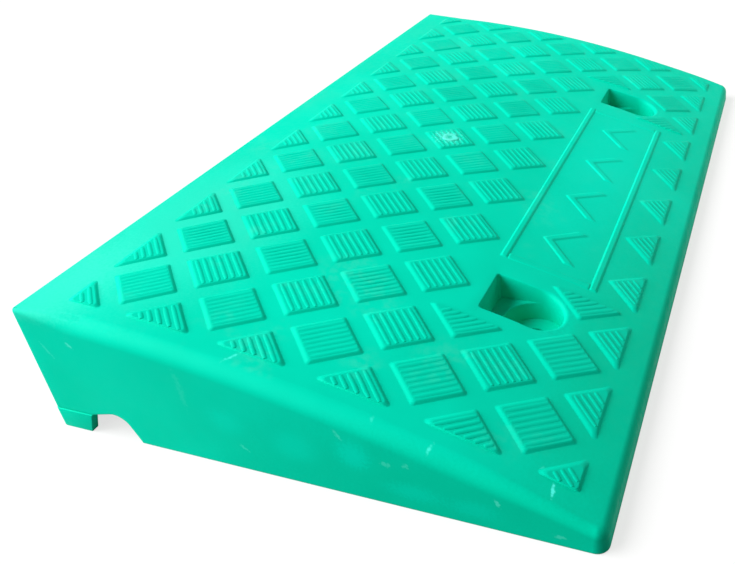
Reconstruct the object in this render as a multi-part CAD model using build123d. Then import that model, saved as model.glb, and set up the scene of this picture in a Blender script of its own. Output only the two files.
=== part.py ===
from build123d import *
import os
from functools import lru_cache
from math import atan2, cos, hypot, radians, sin, sqrt

# Overall sizes of the kerb ramp, in millimetres and degrees.
# X runs along the kerb, Y runs uphill to the kerb, Z is up, and the road is at Z = 0.
length = 490.0
width = 270.0
rear_height = 69.4
nose_height = 9.9
rear_slope = 3.2

# Walls and outer edges of the moulding
deck_thickness = 4.0
wall = 4.0
end_draft = 1.2
rear_draft = 1.1
nose_draft = 0.8
plan_corner = 6.5
rim_radius = 5.8
rim_corner_share = 0.9
rim_nose_share = 0.7
rear_edge = 2.0

# Rain channel through both end walls, and the proud foot between it and the kerb
foot_depth = 18.9
foot_height = 11.3
foot_wall = 4.0
foot_proud = 0.5
channel_width = 31.2
channel_crown = 16.4
channel_rear_lean = 4.6
channel_front_lean = 7.0
channel_round = 9.0

# Bolt pockets: a straight uphill wall, a round downhill end, a ledge and a counterbore
bolt_spacing = 272.0
bolt_to_nose = 60.0
bolt_hole = 13.0
pocket_radius = 15.0
pocket_back = 22.2
pocket_wall = 3.5
ledge_height = 23.0
seat_height = 13.0
pocket_floor = 4.0
boss_wall = 4.5

# Ribs under the deck, which stop just short of the road
rib_thickness = 3.0
rib_lift = 1.0
ribs_between_bolts = 3
rib_least_bay = 18.0
long_rib_pitch = 75.0
long_rib_gap = 3.0

# Diamond treads on a lattice, whole inside the deck and cut to halves along its edges
tread_pitch_long = 46.0
tread_pitch_cross = 46.5
tread_margin_end = 11.0
tread_margin_rear = 23.3
tread_margin_nose = 10.0
tread_reach = 16.6
tread_corner = 1.6
plate_height = 1.0
tread_rib_height = 0.4
tread_rib_width = 1.5
tread_rib_inset = 1.4
inner_rib_count = 7
crossing_rib_count = 6
tread_pocket_gap = 7.0
pocket_land = 4.5
panel_land = 4.0
gate_radius = 5.0
gate_height = 0.6
rows_to_gate_count = 2

# Framed panel between the pockets, with plain chevrons in it
panel_gap = 15.0
panel_to_nose = 37.0
panel_depth = 47.0
bar_width = 4.0
bar_height = 0.8
end_bar_width = 5.0
end_bar_height = 0.4
chevron_count = 4
chevron_span = 34.0
chevron_rise = 16.0
chevron_stroke = 6.0
chevron_height = 0.7

# How far a cutting solid reaches past what it cuts
reach = 20.0

# The deck is one arc, from the kerb's slope down to the nose
drop = rear_height - nose_height
half_turn = atan2(drop, width) - radians(rear_slope)
deck_radius = hypot(width, drop) / (2 * sin(half_turn))
axis_y = width / 2 + deck_radius * sin(radians(rear_slope))
axis_z = rear_height - deck_radius * cos(radians(rear_slope))

# Places that several pieces share
half_width = width / 2
end_half = length / 2 - foot_proud
inner_x = end_half - end_draft - wall
inner_y = half_width - wall
foot_front = half_width - foot_depth
channel_front = foot_front - channel_width
bolt_x = bolt_spacing / 2
bolt_y = bolt_to_nose - half_width
pocket_rear = bolt_y + pocket_back
panel_half = bolt_x - pocket_radius - panel_gap
downhill_bar_y = panel_to_nose - half_width
uphill_bar_y = downhill_bar_y + panel_depth
panel_y = (uphill_bar_y + downhill_bar_y) / 2
tread_height = plate_height + tread_rib_height
sides = {"left": -1, "right": 1}


def arc_height(y, lift=0.0):
    """Height of the deck, or of a surface a given lift above it, at a place across the ramp."""
    return axis_z + sqrt((deck_radius + lift) ** 2 - (y - axis_y) ** 2)


def across(profile, half):
    """Solid of a profile in the YZ plane, drawn out to both ends."""
    return extrude(Plane.YZ * profile, amount=half, both=True)


def upright(plan, bottom, top):
    """Solid of a plan outline, from one height to another."""
    return extrude(Pos(0, 0, bottom) * plan, amount=top - bottom)


def block(x_range, y_range, z_range):
    """Box between two places along each axis."""
    sizes = [end - start for start, end in (x_range, y_range, z_range)]
    low = [start for start, end in (x_range, y_range, z_range)]
    return Pos(*low) * Box(*sizes, align=(Align.MIN, Align.MIN, Align.MIN))


def below_arc(lift):
    """All the space below the surface that lies a given lift above the deck."""
    front, rear = -half_width - reach, half_width + reach
    ends = [(front, arc_height(front, lift)), (rear, arc_height(rear, lift))]
    curve = ThreePointArc(ends[0], (0, arc_height(0, lift)), ends[1])
    frame = Polyline(ends[0], (front, -reach), (rear, -reach), ends[1])
    return across(make_face(curve.edges() + frame.edges()), length / 2 + reach)


under_deck = below_arc(0)
under_plate = below_arc(-deck_thickness)


@lru_cache
def deck_layer(height):
    """The curved layer of space that lies on the deck, up to a given height above it."""
    return below_arc(height) - under_deck


def raised(plan, height):
    """Solids of a plan outline that stand on the deck and follow its curve."""
    return upright(plan, 0, rear_height + reach) & deck_layer(height)


def outer_body():
    """The whole outside of the moulding, with its drafts and rounded edges."""
    rear_top = (half_width - rear_draft, arc_height(half_width - rear_draft))
    nose_top = (nose_draft - half_width, arc_height(nose_draft - half_width))
    curve = ThreePointArc(nose_top, (0, arc_height(0)), rear_top)
    frame = Polyline(nose_top, (-half_width, 0), (half_width, 0), rear_top)
    wedge = across(make_face(curve.edges() + frame.edges()), length)
    top_half = end_half - end_draft
    ends = Polygon(
        (-end_half, 0),
        (end_half, 0),
        (top_half, rear_height),
        (-top_half, rear_height),
        align=None,
    )
    body = wedge & extrude(Plane.XZ * ends, amount=width, both=True)
    corners = body.faces().sort_by(Axis.Y)[0].edges().sort_by(Axis.X)
    body = fillet([corners[0], corners[-1]], plan_corner)
    rim = min(rim_radius, rim_nose_share * nose_height, rim_corner_share * plan_corner)
    top = body.faces().sort_by(Axis.Z)[-1]
    body = fillet(top.edges().sort_by(Axis.Y)[:-1], rim)
    rear = body.faces().sort_by(Axis.Y)[-1]
    return fillet(rear.edges().sort_by(Axis.Z)[1:], rear_edge)


def channel():
    """The rain channel's arch, which falls to the top of the foot, drawn out past both ends."""
    arch = Polygon(
        (foot_front, -reach),
        (foot_front, 0),
        (foot_front - channel_rear_lean, foot_height),
        (channel_front + channel_front_lean, channel_crown),
        (channel_front, 0),
        (channel_front, -reach),
        align=None,
    )
    crown = arch.vertices().sort_by(Axis.Y)[-1]
    return across(fillet(crown, channel_round), length)


def pocket_outline(side, growth):
    """Plan of a pocket's mouth, grown outwards on every side."""
    radius = pocket_radius + growth
    back = pocket_back + growth
    straight = Pos(0, back / 2) * Rectangle(2 * radius, back)
    return Pos(side * bolt_x, bolt_y) * (Circle(radius) + straight)


def bolt_circle(side, radius):
    """Circle round a bolt hole's centre, in plan."""
    return Pos(side * bolt_x, bolt_y) * Circle(radius)


def pocket_space(side):
    """The hollow of a pocket and its bolt hole, open at the top and at the road."""
    top = rear_height + reach
    hollow = upright(pocket_outline(side, 0), ledge_height, top)
    hollow += upright(bolt_circle(side, pocket_radius), seat_height, top)
    return hollow + upright(bolt_circle(side, bolt_hole / 2), -reach, top)


def pocket_mass(side):
    """Outside of a pocket's tub, as one filled solid under the deck."""
    ledge_bottom = ledge_height - pocket_floor
    top = rear_height + reach
    tub = upright(pocket_outline(side, pocket_wall), ledge_bottom, top)
    cup = bolt_circle(side, pocket_radius + pocket_wall)
    tub += upright(cup, seat_height - pocket_floor, top)
    return tub & under_plate


def boss_mass(side):
    """Outside of a pocket's round floor and of the sleeve from there down to the road."""
    floor_bottom = seat_height - pocket_floor
    sleeve = upright(bolt_circle(side, bolt_hole / 2 + boss_wall), 0, floor_bottom)
    return sleeve + upright(bolt_circle(side, pocket_radius), floor_bottom, seat_height)


def shell_nodes():
    """The deck, the rims of its pockets, the four walls round it and the two rear feet."""
    body = outer_body()
    deck = body - under_plate
    rims = {}
    for name, side in sides.items():
        land = upright(pocket_outline(side, pocket_land), 0, rear_height + reach)
        rims[f"{name}_pocket_rim"] = (deck & land) - pocket_space(side)
        deck -= land
    cavity = block((-inner_x, inner_x), (-inner_y, inner_y), (-reach, rear_height))
    walls = (body & under_plate) - cavity
    height = (-reach, rear_height)
    past_x = length
    past_y = width
    nodes = {
        "deck": deck,
        **rims,
        "rear_wall": walls & block((-inner_x, inner_x), (inner_y, past_y), height),
        "nose": walls & block((-inner_x, inner_x), (-past_y, -inner_y), height),
    }
    arch = channel()
    for name, side in sides.items():
        outwards = sorted((side * inner_x, side * past_x))
        end_wall = walls & block(outwards, (-past_y, past_y), height)
        outer_x = side * length / 2
        foot_x = sorted((outer_x - side * foot_wall, outer_x))
        foot = block(foot_x, (channel_front, half_width), (0, foot_height))
        heel_x = sorted((side * inner_x, outer_x))
        foot += block(heel_x, (inner_y, half_width), (0, foot_height))
        outer = foot.edges().filter_by(Axis.Z).sort_by(Axis.Y)[-2:].sort_by(Axis.X)
        foot = fillet(outer[-1] if side > 0 else outer[0], rear_edge)
        foot = (foot - arch).solids().sort_by(Axis.Y)[-1]
        corner = block(outwards, (foot_front - channel_rear_lean, past_y), (-reach, foot_height))
        nodes[f"{name}_end_wall"] = end_wall - arch - corner
        nodes[f"{name}_rear_foot"] = foot
    return nodes


def pocket_nodes():
    """The two bolt pockets, and the bosses that close them and stand on the road."""
    nodes = {}
    for name, side in sides.items():
        space = pocket_space(side)
        boss = boss_mass(side)
        nodes[f"{name}_bolt_pocket"] = pocket_mass(side) - space - boss
        nodes[f"{name}_bolt_boss"] = boss - space
    return nodes


def rib_nodes():
    """Long ribs from end to end, and cross ribs from the kerb to the nose between them."""
    space = block((-inner_x, inner_x), (-inner_y, inner_y), (rib_lift, rear_height)) & under_plate
    for side in sides.values():
        space -= pocket_mass(side) + boss_mass(side)
    nodes = {}
    half = rib_thickness / 2
    long_room = channel_front - long_rib_gap - half - bolt_y
    long_ribs = []
    for index in range(int(long_room // long_rib_pitch) + 1):
        y = bolt_y + index * long_rib_pitch
        plate = block((-inner_x, inner_x), (y - half, y + half), (0, rear_height))
        long_ribs.append(plate)
        nodes[f"long_rib_{index + 1}"] = plate & space
    pitch = bolt_spacing / (ribs_between_bolts + 1)
    outermost = int((inner_x - rib_least_bay) // pitch)
    arch = channel()
    for index in range(-outermost, outermost + 1):
        x = index * pitch
        plate = block((x - half, x + half), (-inner_y, inner_y), (0, rear_height))
        rib = (plate & space) - arch
        for long_rib in long_ribs:
            rib -= long_rib
        nodes[f"cross_rib_{index + outermost + 1}"] = rib
    return nodes


def gap_to_pocket(x, y):
    """Distance in plan from a place on the deck to the nearer pocket's mouth."""
    aside = abs(abs(x) - bolt_x)
    if y < bolt_y:
        return max(hypot(aside, y - bolt_y) - pocket_radius, 0)
    return hypot(max(aside - pocket_radius, 0), max(y - pocket_rear, 0))


def in_panel(x, y, growth):
    """Whether a place on the deck lies inside the framed panel, grown outwards on every side."""
    inside_y = abs(y - panel_y) < (panel_depth + bar_width) / 2 + growth
    return abs(x) < panel_half + growth and inside_y


def tread_outline(keep_x, keep_y):
    """Plan of one tread, whole or with only the side of its centre that is to be kept."""
    outline = Rot(Z=45) * Rectangle(sqrt(2) * tread_reach, sqrt(2) * tread_reach)
    half = 2 * tread_reach
    if keep_x:
        outline &= Pos(keep_x * half / 2, 0) * Rectangle(half, 2 * half)
    if keep_y:
        outline &= Pos(0, keep_y * half / 2) * Rectangle(2 * half, half)
    return fillet(outline.vertices(), tread_corner)


def tread_ribs(outline, turn, count):
    """Plan of the ribs on a tread, which lie at a given turn and stop short of its edge."""
    span = sqrt(2) * tread_reach - 2 * tread_rib_inset
    pitch = (span - tread_rib_width) / (count - 1)
    bars = Sketch()
    for index in range(count):
        offset_across = (index - (count - 1) / 2) * pitch
        bars += Rot(Z=turn) * Pos(0, offset_across) * Rectangle(span, tread_rib_width)
    return bars & offset(outline, -tread_rib_inset)


def tread(y, keep_x, keep_y, crossing):
    """One tread with its ribs, on the deck's middle line at a given place across the ramp."""
    outline = tread_outline(keep_x, keep_y)
    turn, count = (45, crossing_rib_count) if crossing else (-45, inner_rib_count)
    ribs = tread_ribs(outline, turn, count)
    seat = Pos(0, y)
    return raised(seat * outline, plate_height) + raised(seat * ribs, tread_height)


@lru_cache
def bare_lands(uphill, downhill):
    """The space above the deck without treads: each pocket's drawn on uphill, the panel's downhill."""
    height = tread_height + reach
    lands = raised(panel_plan(panel_land, downhill), height)
    depth = pocket_back + pocket_land + uphill
    for side in sides.values():
        lands += raised(pocket_outline(side, pocket_land), height)
        beside = Pos(side * bolt_x, bolt_y + depth / 2) * Rectangle(2 * (pocket_radius + pocket_land), depth)
        lands += raised(beside, height)
    return lands


def tread_row(step, rows, columns):
    """The treads of one row: on the lattice's crossings in even steps, between them in odd ones."""
    y = tread_row_y(step)
    uphill = tread_reach if y < pocket_rear + pocket_land else 0
    downhill = tread_reach if y > downhill_bar_y else 0
    lands = bare_lands(uphill, downhill)
    crossing = step % 2 == 0
    keep_y = -1 if step == 0 else 1 if step == 2 * rows else 0
    patterns = {}
    treads = []
    for index in range(columns + 1 if crossing else columns):
        column = index if crossing else index + 0.5
        x = (column - columns / 2) * tread_pitch_long
        if gap_to_pocket(x, y) < tread_pocket_gap or in_panel(x, y, 0):
            continue
        keep_x = 1 if column == 0 else -1 if column == columns else 0
        if keep_x not in patterns:
            patterns[keep_x] = tread(y, keep_x, keep_y, crossing)
        piece = Pos(x, 0) * patterns[keep_x]
        near_pocket = gap_to_pocket(x, y) < pocket_land + tread_reach
        if near_pocket or in_panel(x, y, panel_land + tread_reach):
            piece -= lands
        treads.append(piece)
    return treads


def tread_row_y(step):
    """Place across the ramp of a row of treads, counted from the kerb in half pitches."""
    return half_width - tread_margin_rear - step / 2 * tread_pitch_cross


def tread_nodes():
    """Rows of treads from the kerb to the nose, and the gate mark on the middle one."""
    columns = int((2 * (end_half - end_draft - tread_margin_end)) // tread_pitch_long)
    rows = int((width - tread_margin_rear - tread_margin_nose) // tread_pitch_cross)
    nodes = {}
    for step in range(2 * rows + 1):
        nodes[f"tread_row_{step + 1:02d}"] = tread_row(step, rows, columns)
    gate_x = (columns // 2 - columns / 2) * tread_pitch_long
    gate = Pos(gate_x, tread_row_y(2 * rows_to_gate_count)) * Circle(gate_radius)
    above_plate = deck_layer(tread_height + reach) - deck_layer(plate_height)
    column = upright(gate, 0, rear_height + reach) & above_plate
    nodes["gate_mark"] = [column & deck_layer(plate_height + gate_height)]
    gated = f"tread_row_{2 * rows_to_gate_count + 1:02d}"
    nodes[gated] = [piece - column if abs(piece.center().X - gate_x) < gate_radius else piece
                    for piece in nodes[gated]]
    return nodes


def panel_plan(growth, downhill):
    """Plan of the framed panel over its bars, grown outwards on every side and drawn on downhill."""
    size_x = 2 * (panel_half + growth)
    size_y = panel_depth + bar_width + 2 * growth + downhill
    return Pos(0, panel_y - downhill / 2) * Rectangle(size_x, size_y)


def chevron():
    """Plan of one plain chevron that points uphill, about its own middle."""
    half = chevron_span / 2
    low = -(chevron_rise + chevron_stroke) / 2
    return Polygon(
        (-half, low),
        (0, low + chevron_rise),
        (half, low),
        (half, low + chevron_stroke),
        (0, low + chevron_rise + chevron_stroke),
        (-half, low + chevron_stroke),
        align=None,
    )


def panel_nodes():
    """The panel's two long bars, its two low end bars and the chevrons inside them."""
    bar = Rectangle(2 * panel_half, bar_width)
    inside = panel_depth - bar_width
    nodes = {
        "panel_uphill_bar": raised(Pos(0, uphill_bar_y) * bar, bar_height),
        "panel_downhill_bar": raised(Pos(0, downhill_bar_y) * bar, bar_height),
    }
    for name, side in sides.items():
        x = side * (panel_half - end_bar_width / 2)
        plan = Pos(x, panel_y) * Rectangle(end_bar_width, inside)
        nodes[f"panel_{name}_bar"] = raised(plan, end_bar_height)
    pitch = 2 * (panel_half - end_bar_width) / chevron_count
    marks = Sketch()
    for index in range(chevron_count):
        x = (index - (chevron_count - 1) / 2) * pitch
        marks += Pos(x, panel_y) * chevron()
    nodes["panel_marks"] = raised(marks, chevron_height)
    return nodes


def main():
    """Builds every node and writes one file for each."""
    os.makedirs("parts", exist_ok=True)
    nodes = {}
    for group in (shell_nodes, pocket_nodes, rib_nodes, tread_nodes, panel_nodes):
        nodes.update(group())
    for name, shape in nodes.items():
        pieces = shape if isinstance(shape, list) else [shape]
        solids = [solid for piece in pieces for solid in piece.solids()]
        export_step(Compound(children=solids), f"parts/{name}.step")
        print(name, len(solids), round(sum(solid.volume for solid in solids), 1))


main()
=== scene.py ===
"""Dresses the CAD frame of a moulded kerb ramp and sets it on a pale studio floor.

Sizes are in metres in the frame's own axes: X along the kerb, Y uphill towards it, Z up. Only the
marks of wear and the patches of painted shade and sheen are given in millimetres.
"""
import logging
import math
from dataclasses import asdict, dataclass, field, fields, replace
from enum import Enum
from functools import cached_property
from typing import Callable, Iterable, Sequence

import bmesh
import bpy
from bmesh.types import BMVert
from mathutils import Matrix, Vector
from mathutils.geometry import delaunay_2d_cdt


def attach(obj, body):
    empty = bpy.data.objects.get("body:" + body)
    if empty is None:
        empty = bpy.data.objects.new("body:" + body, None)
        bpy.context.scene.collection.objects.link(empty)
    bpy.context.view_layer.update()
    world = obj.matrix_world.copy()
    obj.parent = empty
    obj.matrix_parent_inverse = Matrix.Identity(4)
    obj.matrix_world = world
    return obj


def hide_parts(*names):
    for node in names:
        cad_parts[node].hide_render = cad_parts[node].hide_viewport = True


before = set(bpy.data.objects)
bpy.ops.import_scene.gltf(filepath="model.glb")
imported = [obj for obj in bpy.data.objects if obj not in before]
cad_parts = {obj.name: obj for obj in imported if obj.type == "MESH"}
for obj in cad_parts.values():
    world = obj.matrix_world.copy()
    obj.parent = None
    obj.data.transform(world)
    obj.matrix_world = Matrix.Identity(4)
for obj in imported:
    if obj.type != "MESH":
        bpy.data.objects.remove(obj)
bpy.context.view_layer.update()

LOG = logging.getLogger("kerb_ramp")
MM = 0.001
QUARTER = math.pi / 2
BODY = "root"
GREEN_SLOT = "green_plastic"
GATE_SLOT = "gate_plastic"
TOUCHING = 1e-6
TINY = 1e-7

Plan = tuple[float, float]
Triple = tuple[float, float, float]
Step = tuple[float, float, float, float]
Socket = bpy.types.NodeSocket
Material = bpy.types.Material
Piece = bpy.types.Object


class End(Enum):
    """The two ends of the ramp, by the sign of their X."""

    LEFT = -1
    RIGHT = 1

    @property
    def label(self) -> str:
        """The end's name as the CAD nodes have it."""
        return self.name.lower()


class RibLay(Enum):
    """How the ribs lie on a tread: their count, turn in plan and height."""

    CROSSING = (6, math.radians(45), 0.27 * MM)
    INNER = (7, math.radians(-45), 0.17 * MM)

    def __init__(self, count: int, turn: float, height: float) -> None:
        """Keeps the values under their own names.

        Args:
            count: How many ribs a tread has.
            turn: The ribs' direction in plan, in radians.
            height: Their height above the tread.
        """
        self.count = count
        self.turn = turn
        self.height = height


class Tone(Enum):
    """Colours that handling and light wear give the plastic, and the colours of painted shade and painted
    sheen.
    """

    # Pale scuffs and rubs of wear, and the painted sheen on the rear of the deck.
    WORN = (0.12, 0.90, 0.74)
    BLUSHED = (0.14, 0.95, 0.82)
    SCUFFED = (0.08, 1.0, 0.86)
    # Pale smudges of handling on the near wall, and the painted sheen on the panel.
    POLISHED = (0.0, 0.77, 0.56)
    # Darker plastic: painted shade on the deck's front and the near wall's front, and the gate disc's
    # darker middle.
    DEEPER = (0.0, 0.55, 0.34)
    # Painted shade on the kerb's side and on the pockets' round walls.
    GRIMY = (0.0, 0.46, 0.31)


class Graph:
    """A thin hand on a node tree, which adds nodes, sets their values and joins them."""

    def __init__(self, tree: bpy.types.NodeTree) -> None:
        """Takes the tree to work on."""
        self.tree = tree

    @classmethod
    def blank(cls, owner: bpy.types.ID) -> "Graph":
        """Clears the nodes of a material or a world and takes them in hand.

        Args:
            owner: The material or world.

        Returns:
            The hand on its empty tree.
        """
        owner.use_nodes = True
        owner.node_tree.nodes.clear()
        return cls(owner.node_tree)

    def add(self, kind: str, inputs: dict | None = None, **settings: object) -> bpy.types.Node:
        """Adds one node.

        Args:
            kind: The node's type name.
            inputs: Input sockets by name or number, each with a value or a socket to join.
            settings: Properties of the node itself.

        Returns:
            The new node.
        """
        node = self.tree.nodes.new(kind)
        for key, value in settings.items():
            setattr(node, key, value)
        for key, value in (inputs or {}).items():
            if isinstance(value, Socket):
                self.tree.links.new(value, node.inputs[key])
            else:
                node.inputs[key].default_value = value
        return node

    def shade(self, kind: str, inputs: dict | None = None, **settings: object) -> Socket:
        """Adds a shader node by its short name and returns its first output."""
        return self.add("ShaderNode" + kind, inputs, **settings).outputs[0]

    def geo(self, kind: str, inputs: dict | None = None, **settings: object) -> Socket:
        """Adds a geometry node by its short name and returns its first output."""
        return self.add("GeometryNode" + kind, inputs, **settings).outputs[0]

    def math(self, operation: str, *values: object) -> Socket:
        """Adds a Math node on numbers or sockets and returns its result."""
        return self.shade("Math", dict(enumerate(values)), operation=operation)

    def vectors(self, operation: str, first: object, second: object) -> Socket:
        """Joins two vectors by an operation and returns the vector that results."""
        return self.shade("VectorMath", {0: first, 1: second}, operation=operation)

    def scaled(self, vector: Socket, factor: Socket) -> Socket:
        """Stretches a vector by a factor."""
        return self.shade("VectorMath", {0: vector, "Scale": factor}, operation="SCALE")

    def length(self, vector: Socket) -> Socket:
        """Measures a vector."""
        return self.add("ShaderNodeVectorMath", {0: vector}, operation="LENGTH").outputs["Value"]

    def vector(self, x: object, y: object, z: object) -> Socket:
        """Joins three numbers or sockets to a vector socket."""
        return self.shade("CombineXYZ", {"X": x, "Y": y, "Z": z})

    def parts(self, vector: Socket) -> bpy.types.NodeOutputs:
        """Splits a vector into its X, Y and Z."""
        return self.add("ShaderNodeSeparateXYZ", {0: vector}).outputs

    def ramp(self, value: object, low: float, high: float, to: Plan = (0.0, 1.0)) -> Socket:
        """Maps a value smoothly from a range, low to high, onto another one."""
        inputs = {"Value": value, "From Min": low, "From Max": high, "To Min": to[0], "To Max": to[1]}
        return self.shade("MapRange", inputs, interpolation_type="SMOOTHSTEP")

    def blend(self, factor: object, first: object, second: object) -> Socket:
        """Mixes two colours, given as values or sockets, by a factor."""
        node = self.add("ShaderNodeMix", {0: factor, 6: first, 7: second}, data_type="RGBA")
        return node.outputs[2]

    @cached_property
    def place(self) -> Socket:
        """The object coordinates of what is shaded."""
        return self.add("ShaderNodeTexCoord").outputs["Object"]

    def noise(self, scale: float, detail: float) -> Socket:
        """Adds a noise of a scale, in patterns to the metre, with some layers of detail."""
        return self.shade("TexNoise", {"Vector": self.place, "Scale": scale, "Detail": detail})

    def moved(self, geometry: Socket, offset: Socket) -> Socket:
        """Shifts a geometry's points by an offset."""
        return self.geo("SetPosition", {"Geometry": geometry, "Offset": offset})

    def joined(self, *parts: Socket) -> Socket:
        """Joins several geometries to one.

        Args:
            parts: The geometries.

        Returns:
            All of them together.
        """
        node = self.add("GeometryNodeJoinGeometry")
        for part in parts:
            self.tree.links.new(part, node.inputs[0])
        return node.outputs[0]


@dataclass(frozen=True)
class DeckArc:
    """The deck's curve: one circular arc seen from the end, the same all along the kerb."""

    half_width: float = 135 * MM
    rear_height: float = 69.4 * MM
    nose_height: float = 9.9 * MM
    rear_slope: float = math.radians(3.2)

    @cached_property
    def radius(self) -> float:
        """The radius that joins both edges and has the wanted slope at the kerb.

        Returns:
            The arc's radius.
        """
        span = 2 * self.half_width
        drop = self.rear_height - self.nose_height
        lever = drop * math.cos(self.rear_slope) - span * math.sin(self.rear_slope)
        return (span**2 + drop**2) / (2 * lever)

    @cached_property
    def axis_y(self) -> float:
        """Where the arc's axis lies across the ramp."""
        return self.half_width + self.radius * math.sin(self.rear_slope)

    @cached_property
    def axis_z(self) -> float:
        """How high the arc's axis lies."""
        return self.rear_height - self.radius * math.cos(self.rear_slope)

    def height(self, y: float, lift: float = 0.0) -> float:
        """Height of the deck, or of a surface at a lift above it, at a place across the ramp."""
        return self.axis_z + math.sqrt((self.radius + lift) ** 2 - (y - self.axis_y) ** 2)

    def slope(self, y: float) -> float:
        """Rise of the deck towards the kerb at a place across the ramp."""
        away = self.axis_y - y
        return away / math.sqrt(self.radius**2 - away**2)


@dataclass(frozen=True)
class Station:
    """A place on an upright wall's foot line, with the wall's outward way, lean and top edge."""

    x: float
    y: float
    out_x: float
    out_y: float
    lean: float
    edge: float

    def at(self, z: float) -> Vector:
        """The wall's point at a height."""
        back = self.lean * z
        return Vector((self.x - self.out_x * back, self.y - self.out_y * back, z))

    def mirrored(self) -> "Station":
        """The same place at the other end of the ramp."""
        return replace(self, x=-self.x, out_x=-self.out_x)


def mm(*sizes: float) -> tuple[float, ...]:
    """Turns millimetres into metres."""
    return tuple(size * MM for size in sizes)


def ease(value: float, start: float, end: float) -> float:
    """How far a value lies on the way from one number to another, slow at both."""
    share = min(1.0, max(0.0, (value - start) / (end - start)))
    return share * share * (3 - 2 * share)


def between(start: float, end: float, step: float) -> list[float]:
    """Even values from one number to another, both included, about a step apart."""
    count = max(1, round(abs(end - start) / step))
    return [start + (end - start) * index / count for index in range(count + 1)]


def on_arc(centre: Plan, radius: float, start: float, end: float, degrees: float) -> list[Step]:
    """Goes along an arc in plan.

    Args:
        centre: The arc's middle.
        radius: Its radius.
        start: The outward way at its start, in radians.
        end: The outward way at its end.
        degrees: About how far each step turns.

    Returns:
        Place and outward way at each step.
    """
    steps = []
    for angle in between(start, end, math.radians(degrees)):
        way = math.cos(angle), math.sin(angle)
        steps.append((centre[0] + radius * way[0], centre[1] + radius * way[1], *way))
    return steps


def edge_section(arc: DeckArc, place: Station, steps: int) -> list[Vector]:
    """Rounds the edge between an upright wall and the deck.

    Args:
        arc: The deck's curve.
        place: The wall's place and the size of its edge.
        steps: How many steps the rounding has.

    Returns:
        Points from the wall up onto the deck.
    """
    top = arc.height(place.y)
    # The wall leans, so the height of its top is closed in on.
    for _ in range(6):
        top = arc.height(place.y - place.out_y * place.lean * top)
    corner = place.at(top)
    out = Vector((place.out_x, place.out_y, 0))
    up = Vector((0, 0, 1))
    down = (out * place.lean - up).normalized()
    inward = (-out - up * arc.slope(corner.y) * place.out_y).normalized()
    opening = down.angle(inward)
    tangent = place.edge / math.tan(opening / 2)
    centre = corner + (down + inward).normalized() * (place.edge / math.sin(opening / 2))
    start = corner + down * tangent - centre
    end = corner + inward * tangent - centre
    turn = math.pi - opening
    points = []
    for step in range(steps + 1):
        share = step / steps
        swung = start * math.sin((1 - share) * turn) + end * math.sin(share * turn)
        points.append(centre + swung / math.sin(turn))
    points[-1].z = arc.height(points[-1].y)
    return points


def sides_of(outline: Sequence[Plan]) -> Iterable[tuple[Plan, Plan]]:
    """Pairs each corner of an outline with the next one."""
    return zip(outline, [*outline[1:], outline[0]])


def is_inside(outline: Sequence[Plan], place: Plan) -> bool:
    """Whether a place lies inside an outline.

    Args:
        outline: The outline's corners.
        place: The place in plan.

    Returns:
        True for a place inside.
    """
    hit = False
    x, y = place
    for (ax, ay), (bx, by) in sides_of(outline):
        if (ay > y) != (by > y) and x < ax + (bx - ax) * (y - ay) / (by - ay):
            hit = not hit
    return hit


def clip(outline: Sequence[Plan], way: Plan, limit: float) -> list[Plan]:
    """Cuts an outline along a straight line.

    Args:
        outline: The outline's corners.
        way: The direction in which the line cuts off.
        limit: How far along that direction the line is.

    Returns:
        The corners of what is kept.
    """
    kept: list[Plan] = []
    for (ax, ay), (bx, by) in sides_of(outline):
        first = ax * way[0] + ay * way[1] - limit
        second = bx * way[0] + by * way[1] - limit
        if first <= 0:
            kept.append((ax, ay))
        if first * second < 0:
            share = first / (first - second)
            kept.append((ax + (bx - ax) * share, ay + (by - ay) * share))
    return kept


def crossings(outline: Sequence[Plan], through: Plan, turn: float) -> list[tuple[Plan, Plan]]:
    """Finds the stretches of a straight line that lie inside an outline.

    Args:
        outline: The outline's corners.
        through: A place on the line.
        turn: The line's direction in radians.

    Returns:
        Both ends of each stretch.
    """
    along = math.cos(turn), math.sin(turn)
    hits = []
    for (ax, ay), (bx, by) in sides_of(outline):
        first = (ay - through[1]) * along[0] - (ax - through[0]) * along[1]
        second = (by - through[1]) * along[0] - (bx - through[0]) * along[1]
        if (first > 0) != (second > 0):
            share = first / (first - second)
            x, y = ax + (bx - ax) * share, ay + (by - ay) * share
            hits.append((x - through[0]) * along[0] + (y - through[1]) * along[1])
    hits.sort()
    ends = [(through[0] + hit * along[0], through[1] + hit * along[1]) for hit in hits]
    return list(zip(ends[::2], ends[1::2]))


def mitre(before: Plan, corner: Plan, after: Plan, cut: float | None, sheer: float) -> Plan:
    """Finds the step inwards at a corner that moves both its edges inwards by their own shares.

    Args:
        before: The corner before it, counter-clockwise.
        corner: The corner.
        after: The corner after it.
        cut: Where along the kerb a sheer edge lies, if there is one.
        sheer: The sheer edge's share; the other edges' share is one.

    Returns:
        The step's length, and its turn from the middle between both edges in radians.
    """
    ways, shares = [], []
    for (ax, ay), (bx, by) in ((before, corner), (corner, after)):
        ways.append(Vector((ay - by, bx - ax)).normalized())
        on_cut = cut is not None and abs(ax - cut) + abs(bx - cut) < TOUCHING
        shares.append(sheer if on_cut else 1.0)
    (first, second), (near, far) = ways, shares
    whole = first.x * second.y - first.y * second.x
    step = Vector((near * second.y - far * first.y, far * first.x - near * second.x)) / whole
    middle = first + second
    return step.length, math.atan2(middle.x * step.y - middle.y * step.x, middle.dot(step))


def add_object(name: str, data: bpy.types.ID) -> Piece:
    """Makes an object of a mesh, curve, lamp or camera and puts it in the scene.

    Args:
        name: The object's name.
        data: What it shows.

    Returns:
        The new object, at the origin.
    """
    made = bpy.data.objects.new(name, data)
    bpy.context.scene.collection.objects.link(made)
    return made


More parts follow.
